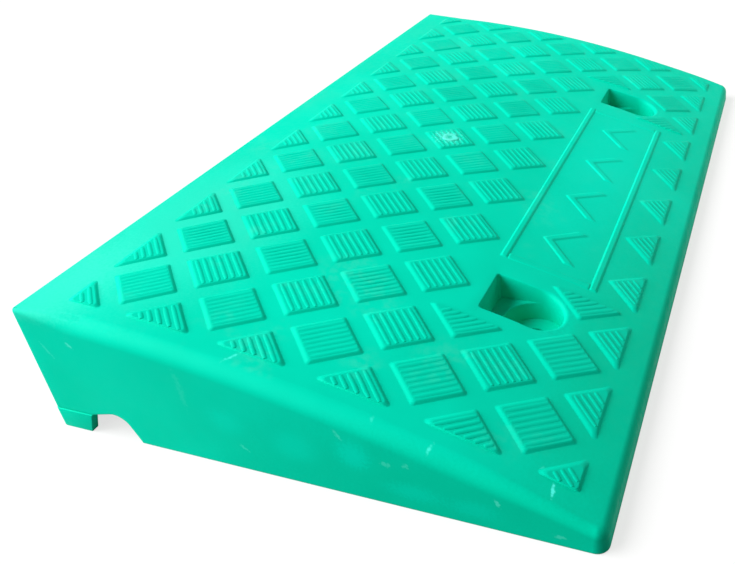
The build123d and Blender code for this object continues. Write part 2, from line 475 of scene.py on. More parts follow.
def evaluated(source: Piece) -> bpy.types.Mesh:
    """The mesh that an object's modifiers make of it."""
    graph = bpy.context.evaluated_depsgraph_get()
    return bpy.data.meshes.new_from_object(source.evaluated_get(graph), depsgraph=graph)


def smooth(piece: Piece, crease: float) -> None:
    """Shades a piece smoothly, apart from the edges that turn by more than some degrees."""
    piece.data.shade_smooth()
    piece.data.set_sharp_from_angle(angle=math.radians(crease))


def settle(piece: Piece, *nodes: str, slot: str = GREEN_SLOT) -> None:
    """Puts a finished piece on the body in the place of CAD nodes.

    Args:
        piece: The finished piece.
        nodes: The CAD nodes it stands for.
        slot: A material slot's name; not used.
    """
    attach(piece, BODY)
    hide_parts(*nodes)
    LOG.info("%s: %d faces, stands for %s", piece.name, len(piece.data.polygons), ", ".join(nodes))


class Mesher:
    """Collects the points and faces of one piece and turns them into a finished object."""

    CREASE = 38.0
    BEVEL_SEGMENTS = 3

    def __init__(self) -> None:
        """Starts with an empty mesh."""
        self.mesh = bmesh.new()
        self.soft = self.mesh.edges.layers.float.new("bevel_weight_edge")

    def ring(self, points: Iterable[Vector]) -> list[BMVert]:
        """Adds points and returns them in their order."""
        return [self.mesh.verts.new(point) for point in points]

    def cap(self, corners: Sequence[BMVert]) -> None:
        """Closes a loop of points by one face."""
        self.mesh.faces.new(corners)

    def skin(self, rings: Sequence[Sequence[BMVert]], closed: bool = True) -> None:
        """Joins each ring to the next one, of the same count, by a band of faces.

        Args:
            rings: The rings in their order.
            closed: Whether the last points of the rings join the first ones.
        """
        count = len(rings[0])
        for first, second in zip(rings, rings[1:]):
            for index in range(count if closed else count - 1):
                after = (index + 1) % count
                self.cap((first[index], first[after], second[after], second[index]))

    def soften(self, run: Sequence[BMVert]) -> None:
        """Marks the edges along a run of points for the bevel."""
        for pair in zip(run, run[1:]):
            self.mesh.edges.get(pair)[self.soft] = 1.0

    def sheet(
        self,
        outer: Sequence[BMVert],
        holes: Sequence[Sequence[BMVert]],
        inside: Sequence[Plan],
        height: Callable[[float], float],
    ) -> None:
        """Fills the space between a convex ring and its holes, following the deck's curve.

        Args:
            outer: The outer ring.
            holes: Rings that stay open.
            inside: Places between them that get a point of their own.
            height: Height of the surface at a place across the ramp.
        """
        loops = [outer, *holes]
        corners = [corner for loop in loops for corner in loop]
        flat = [corner.co.xy for corner in corners] + [Vector(place) for place in inside]
        edges: list[tuple[int, int]] = []
        for loop in loops:
            first = len(edges)
            edges += [(first + index, first + (index + 1) % len(loop)) for index in range(len(loop))]
        found, _, faces, origins, _, _ = delaunay_2d_cdt(flat, edges, [], 0, TINY)
        points: list[BMVert] = []
        for place, origin in zip(found, origins):
            if origin and origin[0] < len(corners):
                points.append(corners[origin[0]])
            else:
                points.append(self.mesh.verts.new((place.x, place.y, height(place.y))))
        rims = [[(corner.co.x, corner.co.y) for corner in hole] for hole in holes]
        for face in faces:
            middle = sum((found[index] for index in face), Vector((0, 0))) / len(face)
            if not any(is_inside(rim, (middle.x, middle.y)) for rim in rims):
                self.cap([points[index] for index in face])

    def finish(self, name: str, material: Material, bevel: float = 0.0) -> Piece:
        """Merges, turns and smooths the mesh and gives it to a new object.

        Args:
            name: The object's name.
            material: Its material.
            bevel: Width of the rounding on the edges marked as soft.

        Returns:
            The finished object.
        """
        bmesh.ops.remove_doubles(self.mesh, verts=self.mesh.verts[:], dist=TOUCHING)
        bmesh.ops.dissolve_degenerate(self.mesh, dist=TINY, edges=self.mesh.edges[:])
        bmesh.ops.recalc_face_normals(self.mesh, faces=self.mesh.faces[:])
        data = bpy.data.meshes.new(name)
        self.mesh.to_mesh(data)
        self.mesh.free()
        data.materials.append(material)
        piece = add_object(name, data)
        if bevel:
            rounding = piece.modifiers.new("edge", "BEVEL")
            rounding.limit_method = "WEIGHT"
            rounding.width = bevel
            rounding.segments = self.BEVEL_SEGMENTS
            made = evaluated(piece)
            piece.modifiers.clear()
            piece.data = made
        smooth(piece, self.CREASE)
        return piece


@dataclass(frozen=True)
class Mark:
    """A pale mark of wear, or a patch of painted shade or painted sheen, on the plastic: a soft
    ellipsoid, in millimetres and degrees.
    """

    centre: Triple
    half: Triple
    turn: Triple = (0.0, 0.0, 0.0)
    strength: float = 0.3
    fray: float = 0.45
    tone: Tone = Tone.WORN
    GRIT_RANGE = (0.3, 0.7)
    FADE = (1.1, 0.2)

    def cover(self, graph: Graph, grit: Socket, colour: Socket) -> Socket:
        """Lays the spot over a colour.

        Args:
            graph: The material's nodes.
            grit: The fine noise that frays the spot.
            colour: The colour under the spot.

        Returns:
            The colour with the spot on it.
        """
        inputs = {
            "Vector": graph.place,
            "Location": mm(*self.centre),
            "Rotation": [math.radians(angle) for angle in self.turn],
            "Scale": mm(*self.half),
        }
        away = graph.length(graph.shade("Mapping", inputs, vector_type="TEXTURE"))
        frayed = graph.math("ADD", away, graph.ramp(grit, *self.GRIT_RANGE, (-self.fray, self.fray)))
        share = graph.math("MULTIPLY", graph.ramp(frayed, *self.FADE), self.strength)
        return graph.blend(share, colour, (*self.tone.value, 1))


@dataclass(frozen=True)
class MouldedPlastic:
    """Injection-moulded polyethylene: deep colour, a waxy sheen, faint grain, handling marks, and painted
    shade and sheen laid on as marks.

    Noises are given by their patterns to the metre and their layers of detail.
    """

    name: str = "turquoise_plastic"
    colour: Triple = (0.0, 0.67, 0.455)
    deep: Triple = (0.0, 0.625, 0.415)
    dust: Triple = (0.26, 0.61, 0.50)
    dust_share: float = 0.07
    roughness: Plan = (0.42, 0.58)
    specular: float = 0.6
    index: float = 1.07
    clouds: Plan = (14.0, 3.0)
    patches: Plan = (34.0, 5.0)
    flecks: Plan = (240.0, 4.0)
    grit: Plan = (700.0, 3.0)
    swell: Plan = (42.0, 1.0)
    swell_depth: float = 0.25 * MM
    grain: Plan = (1500.0, 2.0)
    grain_depth: float = 0.012 * MM
    marks: tuple[Mark, ...] = ()
    CLOUD_RANGE = (0.35, 0.68)
    SHEEN_RANGE = (0.25, 0.75)
    LEVEL_RANGE = (0.90, 0.99)
    PATCH_RANGE = (0.50, 0.72)
    BROKEN_RANGE = (0.38, 0.66)

    def build(self) -> Material:
        """Makes the material.

        Returns:
            The finished material.
        """
        material = bpy.data.materials.new(self.name)
        graph = Graph.blank(material)
        fleck, grit = graph.noise(*self.flecks), graph.noise(*self.grit)
        cloud = graph.ramp(graph.noise(*self.clouds), *self.CLOUD_RANGE)
        colour = graph.blend(cloud, (*self.deep, 1), (*self.colour, 1))
        colour = graph.blend(self._dust(graph, fleck), colour, (*self.dust, 1))
        for mark in self.marks:
            colour = mark.cover(graph, grit, colour)
        inputs = {
            "Base Color": colour,
            "Roughness": graph.ramp(fleck, *self.SHEEN_RANGE, self.roughness),
            "Normal": self._bump(graph),
            "Specular IOR Level": self.specular,
            "IOR": self.index,
        }
        shader = graph.shade("BsdfPrincipled", inputs)
        graph.add("ShaderNodeOutputMaterial", {"Surface": shader})
        return material

    def _dust(self, graph: Graph, fleck: Socket) -> Socket:
        """Spreads pale dust on what faces up.

        Args:
            graph: The material's nodes.
            fleck: The fine noise that breaks the dust up.

        Returns:
            The share of dust.
        """
        facing = graph.parts(graph.add("ShaderNodeNewGeometry").outputs["Normal"])
        share = graph.ramp(facing["Z"], *self.LEVEL_RANGE)
        patch = graph.ramp(graph.noise(*self.patches), *self.PATCH_RANGE)
        for part in (patch, graph.ramp(fleck, *self.BROKEN_RANGE), self.dust_share):
            share = graph.math("MULTIPLY", share, part)
        return share

    def _bump(self, graph: Graph) -> Socket:
        """Adds the slow waves of shrinkage and the fine grain of the mould.

        Args:
            graph: The material's nodes.

        Returns:
            The bent normal.
        """
        waves = {"Height": graph.noise(*self.swell), "Distance": self.swell_depth, "Strength": 1.0}
        slow = graph.shade("Bump", waves)
        grain = {"Height": graph.noise(*self.grain), "Distance": self.grain_depth, "Normal": slow}
        return graph.shade("Bump", grain)


@dataclass(frozen=True)
class WearAndPaintedLight:
    """Where handling has scuffed, soiled or polished the ramp, and where shade and sheen are painted on
    it, in millimetres and degrees.
    """

    arc: DeckArc
    END_X = 244
    KERB_Y = 134.5
    DEPTH = 3
    SCUFF_HALF = 0.9

    def marks(self) -> tuple[Mark, ...]:
        """All the marks, with the ones that lie below the others first."""
        walls = (*self._wall_scuffs(), *self._kerb_rubs(), *self._smudges())
        return (*self._painted_light(), *self._pocket_shade(), *self._deck_scuffs(), *walls)

    @staticmethod
    def _painted_light() -> list[Mark]:
        """The broad, soft painted light on the deck, the near wall and the kerb's side: painted sheen on
        the rear of the deck and on the panel, and painted shade on the deck's front, the near wall's
        front and the kerb's side.

        Returns:
            The marks.
        """
        return [
            # Painted sheen: paler patches on the rear of the deck.
            Mark((-225, 122, 70), (60, 30, 8), strength=0.2, fray=0.1),
            Mark((-150, 100, 68), (105, 70, 20), strength=0.15, fray=0.1),
            # Painted sheen: a paler patch over the panel.
            Mark((30, -78, 30), (130, 42, 20), strength=0.5, fray=0.1, tone=Tone.POLISHED),
            # Painted shade: darker plastic on the deck's front and on the near wall's front.
            Mark((-150, -122, 15), (150, 45, 20), strength=0.8, fray=0.1, tone=Tone.DEEPER),
            Mark((-245, -70, 10), (9, 120, 40), strength=0.7, fray=0.1, tone=Tone.DEEPER),
            # Painted shade: darker plastic along the kerb's side, which the key lamp lights straight on.
            Mark((0, 136, 12), (420, 7, 66), strength=0.8, fray=0.15, tone=Tone.GRIMY),
        ]

    @staticmethod
    def _pocket_shade() -> list[Mark]:
        """The painted shade on the round wall of each pocket."""
        places = [PocketForm(side).centre[0] / MM for side in End]
        # Darker plastic on each pocket's round wall: painted shade.
        return [Mark((x, -86, 27), (18, 10, 16), (0, 0, 0), 0.7, 0.1, Tone.GRIMY) for x in places]

    def _deck_scuffs(self) -> list[Mark]:
        """The short scuffs along the deck's near rim.

        Returns:
            The marks, at the deck's own height.
        """
        scuffs = (
            (-234.2, 25.1, 4.6, -28, 0.5), (-240.9, -64.3, 3.8, -15, 0.6), (-227.2, -105.3, 1.6, 0, 0.4),
            (-234.8, -111.7, 4.0, 8, 1.0), (-238.6, -40.0, 2.0, 10, 0.25),
        )
        marks = []
        for x, y, half, turn, strength in scuffs:
            centre = (x, y, self.arc.height(y * MM) / MM)
            size = (half, self.SCUFF_HALF, self.DEPTH)
            marks.append(Mark(centre, size, (0, 0, turn), strength, 0.3, Tone.SCUFFED))
        return marks

    def _wall_scuffs(self) -> list[Mark]:
        """The scratches and scuffs on both end walls.

        Returns:
            The near wall's marks and then the far wall's.
        """
        scuffs = {
            End.LEFT: (
                (106.5, 53.5, 2.6, 1.1, 50, 0.5), (122.0, 48.0, 5.5, 0.8, 60, 0.22),
                (49.8, 40.0, 2.0, 12.0, 0, 0.08), (23.9, 13.5, 3.6, 0.9, 40, 0.3),
                (-26.0, 33.6, 3.0, 1.0, 60, 0.3), (-45.8, 23.4, 2.8, 1.6, 0, 0.25),
                (-54.7, 24.9, 1.8, 1.5, 0, 0.25), (-92.2, 15.8, 2.6, 1.0, 70, 0.4),
                (-116.7, 5.3, 2.6, 1.4, 0, 0.3),
            ),
            End.RIGHT: (
                (92.0, 44.0, 6.0, 0.9, 25, 0.3), (18.0, 30.0, 3.0, 1.2, -40, 0.3),
                (-60.0, 14.0, 5.0, 1.0, 10, 0.35),
            ),
        }
        return [
            Mark((side.value * self.END_X, y, z), (self.DEPTH, half_y, half_z), (turn, 0, 0), strength)
            for side, rows in scuffs.items()
            for y, z, half_y, half_z, turn, strength in rows
        ]

    def _kerb_rubs(self) -> list[Mark]:
        """The long rub marks where the ramp has stood against kerbs.

        Returns:
            The marks.
        """
        rubs = (
            (-186.0, 41.0, 24.0, 1.0, 4, 0.3), (-92.0, 22.0, 12.0, 1.3, -7, 0.3),
            (-20.0, 53.0, 30.0, 0.9, 2, 0.25), (48.0, 31.0, 9.0, 1.6, 12, 0.3),
            (121.0, 46.0, 20.0, 1.0, -3, 0.3), (205.0, 18.0, 14.0, 1.2, 6, 0.3),
        )
        return [
            Mark((x, self.KERB_Y, z), (half_x, self.DEPTH, half_z), (0, turn, 0), strength)
            for x, z, half_x, half_z, turn, strength in rubs
        ]

    def _smudges(self) -> list[Mark]:
        """The soft light smudges low on the near wall.

        Returns:
            The marks.
        """
        smudges = (
            (-31.0, 24.5, 10.0, 10.0, 0.6), (-3.0, 21.0, 14.0, 11.0, 0.35), (30.0, 27.0, 11.0, 9.0, 0.35),
            (-56.0, 10.5, 17.0, 6.0, 0.35), (-82.0, 9.0, 14.0, 6.0, 0.3),
        )
        return [
            Mark((-self.END_X, y, z), (self.DEPTH, *halves), (0, 0, 0), strength, 0.2, Tone.POLISHED)
            for y, z, *halves, strength in smudges
        ]


@dataclass(frozen=True)
class Relief:
    """Sizes of one kind of raised feature on the deck.

    From its outline a side leans in by its run up to the top, and flares out down to its foot,
    which trails uphill and is sunk a little into the deck.
    """

    height: float
    side_run: float
    flare: float
    trail: float = 0.0
    corner_radius: float = 0.8 * MM
    sink: float = 0.06 * MM
    rib_width: float = 2.1 * MM
    rib_height: float = 0.2 * MM
    rib_sway: float = 0.0
    seed: float = 3.0


class ReliefTree:
    """The Geometry Nodes tree that raises plates and ribs from flat outlines on the deck's curve.

    Closed outlines become plates with rounded sides, open lines become ribs with tapered ends.
    """

    SHEER = 0.12
    CREASE = 48.0
    PROFILE_POINTS = 7
    CORNER_POINTS = 4
    RIB_POINTS = 7
    RIB_SIDES = 6
    TAPER_SPAN = (0.5, 0.4)
    TAPER = 0.72
    SWAY_SCALE = 160.0
    MERGE = 0.01 * MM

    def __init__(self, arc: DeckArc) -> None:
        """Builds the tree for a deck's curve.

        Args:
            arc: The deck's curve.
        """
        self.tree = bpy.data.node_groups.new("deck_relief", "GeometryNodeTree")
        self.arc_sizes = {"Arc Radius": arc.radius, "Axis Y": arc.axis_y, "Axis Z": arc.axis_z}
        self._socket("Geometry", "Geometry")
        names = [self._label(size.name) for size in fields(Relief)] + list(self.arc_sizes)
        self.keys = {name: self._socket(name, "Float") for name in names}
        self.keys["Plastic"] = self._socket("Plastic", "Material")
        self._socket("Geometry", "Geometry", "OUTPUT")
        self.graph = Graph(self.tree)
        self.given = self.graph.add("NodeGroupInput").outputs
        self._build()

    @staticmethod
    def _label(name: str) -> str:
        """The tree's name for a size of the relief."""
        return name.replace("_", " ").title()

    def _socket(self, name: str, kind: str, way: str = "INPUT") -> str:
        """Gives the tree an input or output of a kind and returns its identifier."""
        socket = self.tree.interface.new_socket(name, in_out=way, socket_type="NodeSocket" + kind)
        return socket.identifier

    def _build(self) -> None:
        """Adds the nodes from the outlines to the finished relief."""
        graph, given = self.graph, self.given
        closed = {"Geometry": given["Geometry"], "Selection": graph.geo("InputSplineCyclic")}
        outlines, lines = graph.add("GeometryNodeSeparateGeometry", closed, domain="CURVE").outputs
        bent = self._bend(graph.joined(self._plates(outlines), self._ribs(lines)))
        soft = graph.geo("SetShadeSmooth", {"Geometry": bent})
        real = graph.geo("RealizeInstances", {"Geometry": soft})
        dyed = graph.geo("SetMaterial", {"Geometry": real, "Material": given["Plastic"]})
        graph.add("NodeGroupOutput", {"Geometry": dyed})

    def _plates(self, outlines: Socket) -> Socket:
        """Raises closed outlines to plates with a top, a rounded side and a bottom.

        Args:
            outlines: The closed outlines.

        Returns:
            The plates.
        """
        graph, given = self.graph, self.given
        loops = self._loops(outlines)
        inward = graph.geo("InputNamedAttribute", {"Name": "inward"}, data_type="FLOAT_VECTOR")
        outer = graph.math("MULTIPLY", given["Flare"], -1.0)
        low = graph.math("MULTIPLY", given["Sink"], -1.0)
        narrow = graph.moved(loops, graph.scaled(inward, given["Side Run"]))
        wide = graph.moved(loops, graph.scaled(inward, outer))
        top = graph.geo("FillCurve", {"Curve": narrow}, mode="NGONS")
        top = graph.moved(top, graph.vector(0.0, 0.0, given["Height"]))
        bottom = graph.geo("FillCurve", {"Curve": wide}, mode="NGONS")
        bottom = graph.moved(bottom, graph.vector(0.0, given["Trail"], low))
        bottom = graph.geo("FlipFaces", {"Mesh": bottom})
        whole = graph.joined(self._sides(loops, inward, outer), top, bottom)
        whole = graph.geo("MergeByDistance", {"Geometry": whole, "Distance": self.MERGE})
        return graph.geo("RemoveAttribute", {"Geometry": whole, "Name": "inward"})

    def _loops(self, outlines: Socket) -> Socket:
        """Rounds the corners of closed outlines and stores each point's own step inwards.

        Args:
            outlines: The outlines, with the step's length as radius and its turn as tilt.

        Returns:
            The rounded outlines.
        """
        graph = self.graph
        left = graph.vectors("CROSS_PRODUCT", (0.0, 0.0, 1.0), graph.geo("InputTangent"))
        turn = {"Vector": left, "Angle": graph.geo("InputCurveTilt")}
        left = graph.shade("VectorRotate", turn, rotation_type="Z_AXIS")
        inward = graph.scaled(left, graph.geo("InputRadius"))
        held = {"Geometry": outlines, "Name": "inward", "Value": inward}
        loops = graph.geo("StoreNamedAttribute", held, data_type="FLOAT_VECTOR")
        loops = graph.geo("SetCurveTilt", {"Curve": loops, "Tilt": 0.0})
        radius = self.given["Corner Radius"]
        corners = {"Curve": loops, "Count": self.CORNER_POINTS, "Radius": radius, "Limit Radius": True}
        loops = graph.geo("FilletCurve", corners, mode="POLY")
        return graph.geo("SetCurveNormal", {"Curve": loops}, mode="Z_UP")

    def _sides(self, loops: Socket, inward: Socket, outer: Socket) -> Socket:
        """Draws the plates' sides, which rise in an S from their foot to their top.

        Args:
            loops: The rounded outlines.
            inward: Each point's step inwards.
            outer: How far inwards the foot lies.

        Returns:
            The sides.
        """
        graph, given = self.graph, self.given
        profile = graph.geo("CurvePrimitiveLine", {"Start": (0.0, 0.0, 0.0), "End": (0.0, -1.0, 0.0)})
        fine = {"Curve": profile, "Count": self.PROFILE_POINTS}
        profile = graph.geo("ResampleCurve", fine, mode="COUNT")
        sides = graph.geo("CurveToMesh", {"Curve": loops, "Profile Curve": profile})
        level = graph.parts(graph.geo("InputPosition"))["Z"]
        run = graph.math("ADD", given["Flare"], given["Side Run"])
        across = graph.math("ADD", outer, graph.math("MULTIPLY", level, run))
        whole = graph.math("ADD", given["Height"], given["Sink"])
        rise = graph.math("MULTIPLY", graph.ramp(level, 0.0, 1.0), whole)
        drop = graph.math("SUBTRACT", graph.math("SUBTRACT", rise, given["Sink"]), level)
        uphill = graph.math("MULTIPLY", given["Trail"], graph.math("SUBTRACT", 1.0, level))
        shift = graph.vectors("ADD", graph.scaled(inward, across), graph.vector(0.0, uphill, drop))
        return graph.moved(sides, shift)

    def _ribs(self, lines: Socket) -> Socket:
        """Turns open lines into ribs with tapered ends.

        Args:
            lines: The ribs' middle lines.

        Returns:
            The ribs.
        """
        graph, given = self.graph, self.given
        points = graph.geo("ResampleCurve", {"Curve": lines, "Count": self.RIB_POINTS}, mode="COUNT")
        sway = {"Scale": self.SWAY_SCALE, "Detail": 1.0, "W": given["Seed"]}
        noise = graph.add("ShaderNodeTexNoise", sway, noise_dimensions="4D").outputs["Color"]
        level = graph.vectors("SUBTRACT", noise, (0.5, 0.5, 0.5))
        level = graph.vectors("MULTIPLY", level, (2.0, 2.0, 0.0))
        points = graph.moved(points, graph.scaled(level, given["Rib Sway"]))
        points = graph.geo("SetCurveNormal", {"Curve": points}, mode="Z_UP")
        along = graph.geo("SplineParameter")
        from_middle = graph.math("ABSOLUTE", graph.math("SUBTRACT", along, 0.5))
        taper = graph.ramp(from_middle, *self.TAPER_SPAN, (self.TAPER, 1.0))
        circle = graph.geo("CurvePrimitiveCircle", {"Resolution": self.RIB_SIDES, "Radius": 1.0})
        half = graph.math("MULTIPLY", given["Rib Width"], 0.5)
        size = graph.vector(half, given["Rib Height"], 1.0)
        section = graph.geo("Transform", {"Geometry": circle, "Scale": size})
        tube = {"Curve": points, "Profile Curve": section, "Scale": taper, "Fill Caps": True}
        return graph.geo("CurveToMesh", tube)

    def _bend(self, flat: Socket) -> Socket:
        """Lays the flat relief on the deck's arc.

        Args:
            flat: The relief at its heights above a level deck.

        Returns:
            The bent relief.
        """
        graph, given = self.graph, self.given
        place = graph.parts(graph.geo("InputPosition"))
        reach = graph.math("ADD", given["Arc Radius"], place["Z"])
        away = graph.math("SUBTRACT", place["Y"], given["Axis Y"])
        squares = [graph.math("MULTIPLY", side, side) for side in (reach, away)]
        rise = graph.math("SQRT", graph.math("SUBTRACT", *squares))
        height = graph.math("ADD", given["Axis Z"], rise)
        moved = {"Geometry": flat, "Position": graph.vector(place["X"], place["Y"], height)}
        return graph.geo("SetPosition", moved)

    def raise_piece(
        self,
        name: str,
        outlines: Sequence[Sequence[Plan]],
        relief: Relief,
        material: Material,
        ribs: Sequence[tuple[Plan, Plan]] = (),
        cuts: Sequence[float | None] = (),
    ) -> Piece:
        """Draws outlines and rib lines, runs the tree on them and keeps the result as a mesh.

        Args:
            name: The piece's name.
            outlines: Outlines of the plates, counter-clockwise.
            relief: The sizes of the relief.
            material: The piece's material.
            ribs: The ribs' middle lines.
            cuts: Where along the kerb each outline has a sheer edge, or None where it has none.

        Returns:
            The finished piece.
        """
        drawing = bpy.data.curves.new(name + "_drawing", "CURVE")
        drawing.dimensions = "3D"
        for outline, cut in zip(outlines, cuts or [None] * len(outlines)):
            loop = self._draw(drawing, outline, 0.0)
            loop.use_cyclic_u = True
            for index, point in enumerate(loop.points):
                corner = outline[index - 1], outline[index], outline[(index + 1) % len(outline)]
                point.radius, point.tilt = mitre(*corner, cut, self.SHEER)
        for rib in ribs:
            self._draw(drawing, rib, relief.height)
        source = add_object(name + "_drawing", drawing)
        modifier = source.modifiers.new("relief", "NODES")
        modifier.node_group = self.tree
        sizes = {self._label(key): value for key, value in asdict(relief).items()}
        for key, value in (sizes | self.arc_sizes | {"Plastic": material}).items():
            modifier[self.keys[key]] = value
        mesh = evaluated(source)
        mesh.name = name
        bpy.data.objects.remove(source)
        bpy.data.curves.remove(drawing)
        piece = add_object(name, mesh)
        smooth(piece, self.CREASE)
        return piece

    @staticmethod
    def _draw(drawing: bpy.types.Curve, points: Sequence[Plan], z: float) -> bpy.types.Spline:
        """Adds a line of straight stretches to a drawing.

        Args:
            drawing: The drawing.
            points: The line's corners.
            z: Its height above the deck.

        Returns:
            The new line.
        """
        line = drawing.splines.new("POLY")
        line.points.add(len(points) - 1)
        for point, place in zip(line.points, points):
            point.co = (*place, z, 1.0)
        return line


@dataclass(frozen=True)
class PocketForm:
    """A bolt pocket's shape in plan: a round downhill half with a straight-sided uphill half."""

    side: End
    bolt_x: float = 136 * MM
    bolt_y: float = -75 * MM
    radius: float = 15 * MM
    back: float = 22.2 * MM
    back_corner: float = 1.6 * MM
    mouth_back: float = 0.6 * MM
    mouth_round: float = 2.2 * MM
    mouth_grows: Plan = (4 * MM, -8 * MM)
    land: float = 9.2 * MM
    round_degrees: float = 5.0
    corner_degrees: float = 15.0
    side_steps: int = 8

    @property
    def centre(self) -> Plan:
        """The bolt hole's place."""
        return self.side.value * self.bolt_x, self.bolt_y

    def walk(self, growth: float = 0.0) -> list[Step]:
        """Goes once round the outline.

        Args:
            growth: How far outside the pocket's own outline the walk is.

        Returns:
            Place and outward way at each step, counter-clockwise from the round end's left.
        """
        x, y = self.centre
        reach = self.radius + growth
        corner = self.back_corner + growth
        rear = y + self.back + growth - corner
        level = reach - corner
        shares = between(0, 1, 1 / self.side_steps)
        steps = on_arc((x, y), reach, math.pi, 2 * math.pi, self.round_degrees)
        steps += [(x + reach, y + share * (rear - y), 1.0, 0.0) for share in shares[1:]]
        steps += on_arc((x + level, rear), corner, 0, QUARTER, self.corner_degrees)[1:]
        steps += [(x + level - 2 * share * level, rear + corner, 0.0, 1.0) for share in shares[1:]]
        steps += on_arc((x - level, rear), corner, QUARTER, math.pi, self.corner_degrees)[1:]
        steps += [(x - reach, y + share * (rear - y), -1.0, 0.0) for share in shares[-2:0:-1]]
        return steps

    def mouth(self) -> list[Station]:
        """Stations round the pocket's mouth, whose edge is rounder at the downhill end.

        Returns:
            The stations in the order of the walk, facing into the pocket.
        """
        stations = []
        for x, y, out_x, out_y in self.walk():
            share = ease(y - self.bolt_y, *self.mouth_grows)
            edge = self.mouth_back + (self.mouth_round - self.mouth_back) * share
            stations.append(Station(x, y, -out_x, -out_y, 0.0, edge))
        return stations

    def circle(self, radius: float, z: float) -> list[Vector]:
        """Draws a circle round the bolt with as many points as the outline has.

        Args:
            radius: The circle's radius.
            z: Its height.

        Returns:
            The circle's points, each in line with a point of the outline.
        """
        x, y = self.centre
        points = []
        for place_x, place_y, _, _ in self.walk():
            way = Vector((place_x - x, place_y - y)).normalized()
            points.append(Vector((x + radius * way.x, y + radius * way.y, z)))
        return points

    def is_clear(self, x: float, y: float, gap: float) -> bool:
        """Whether a place lies clear of the pocket's mouth.

        Args:
            x: Place along the kerb.
            y: Place across the ramp.
            gap: The least distance to the mouth.

        Returns:
            True for a place that is far enough away.
        """
        away_x, away_y = abs(x - self.centre[0]), y - self.bolt_y
        if away_y < 0:
            return math.hypot(away_x, away_y) > self.radius + gap
        return away_x > self.radius + gap or away_y > self.back + gap


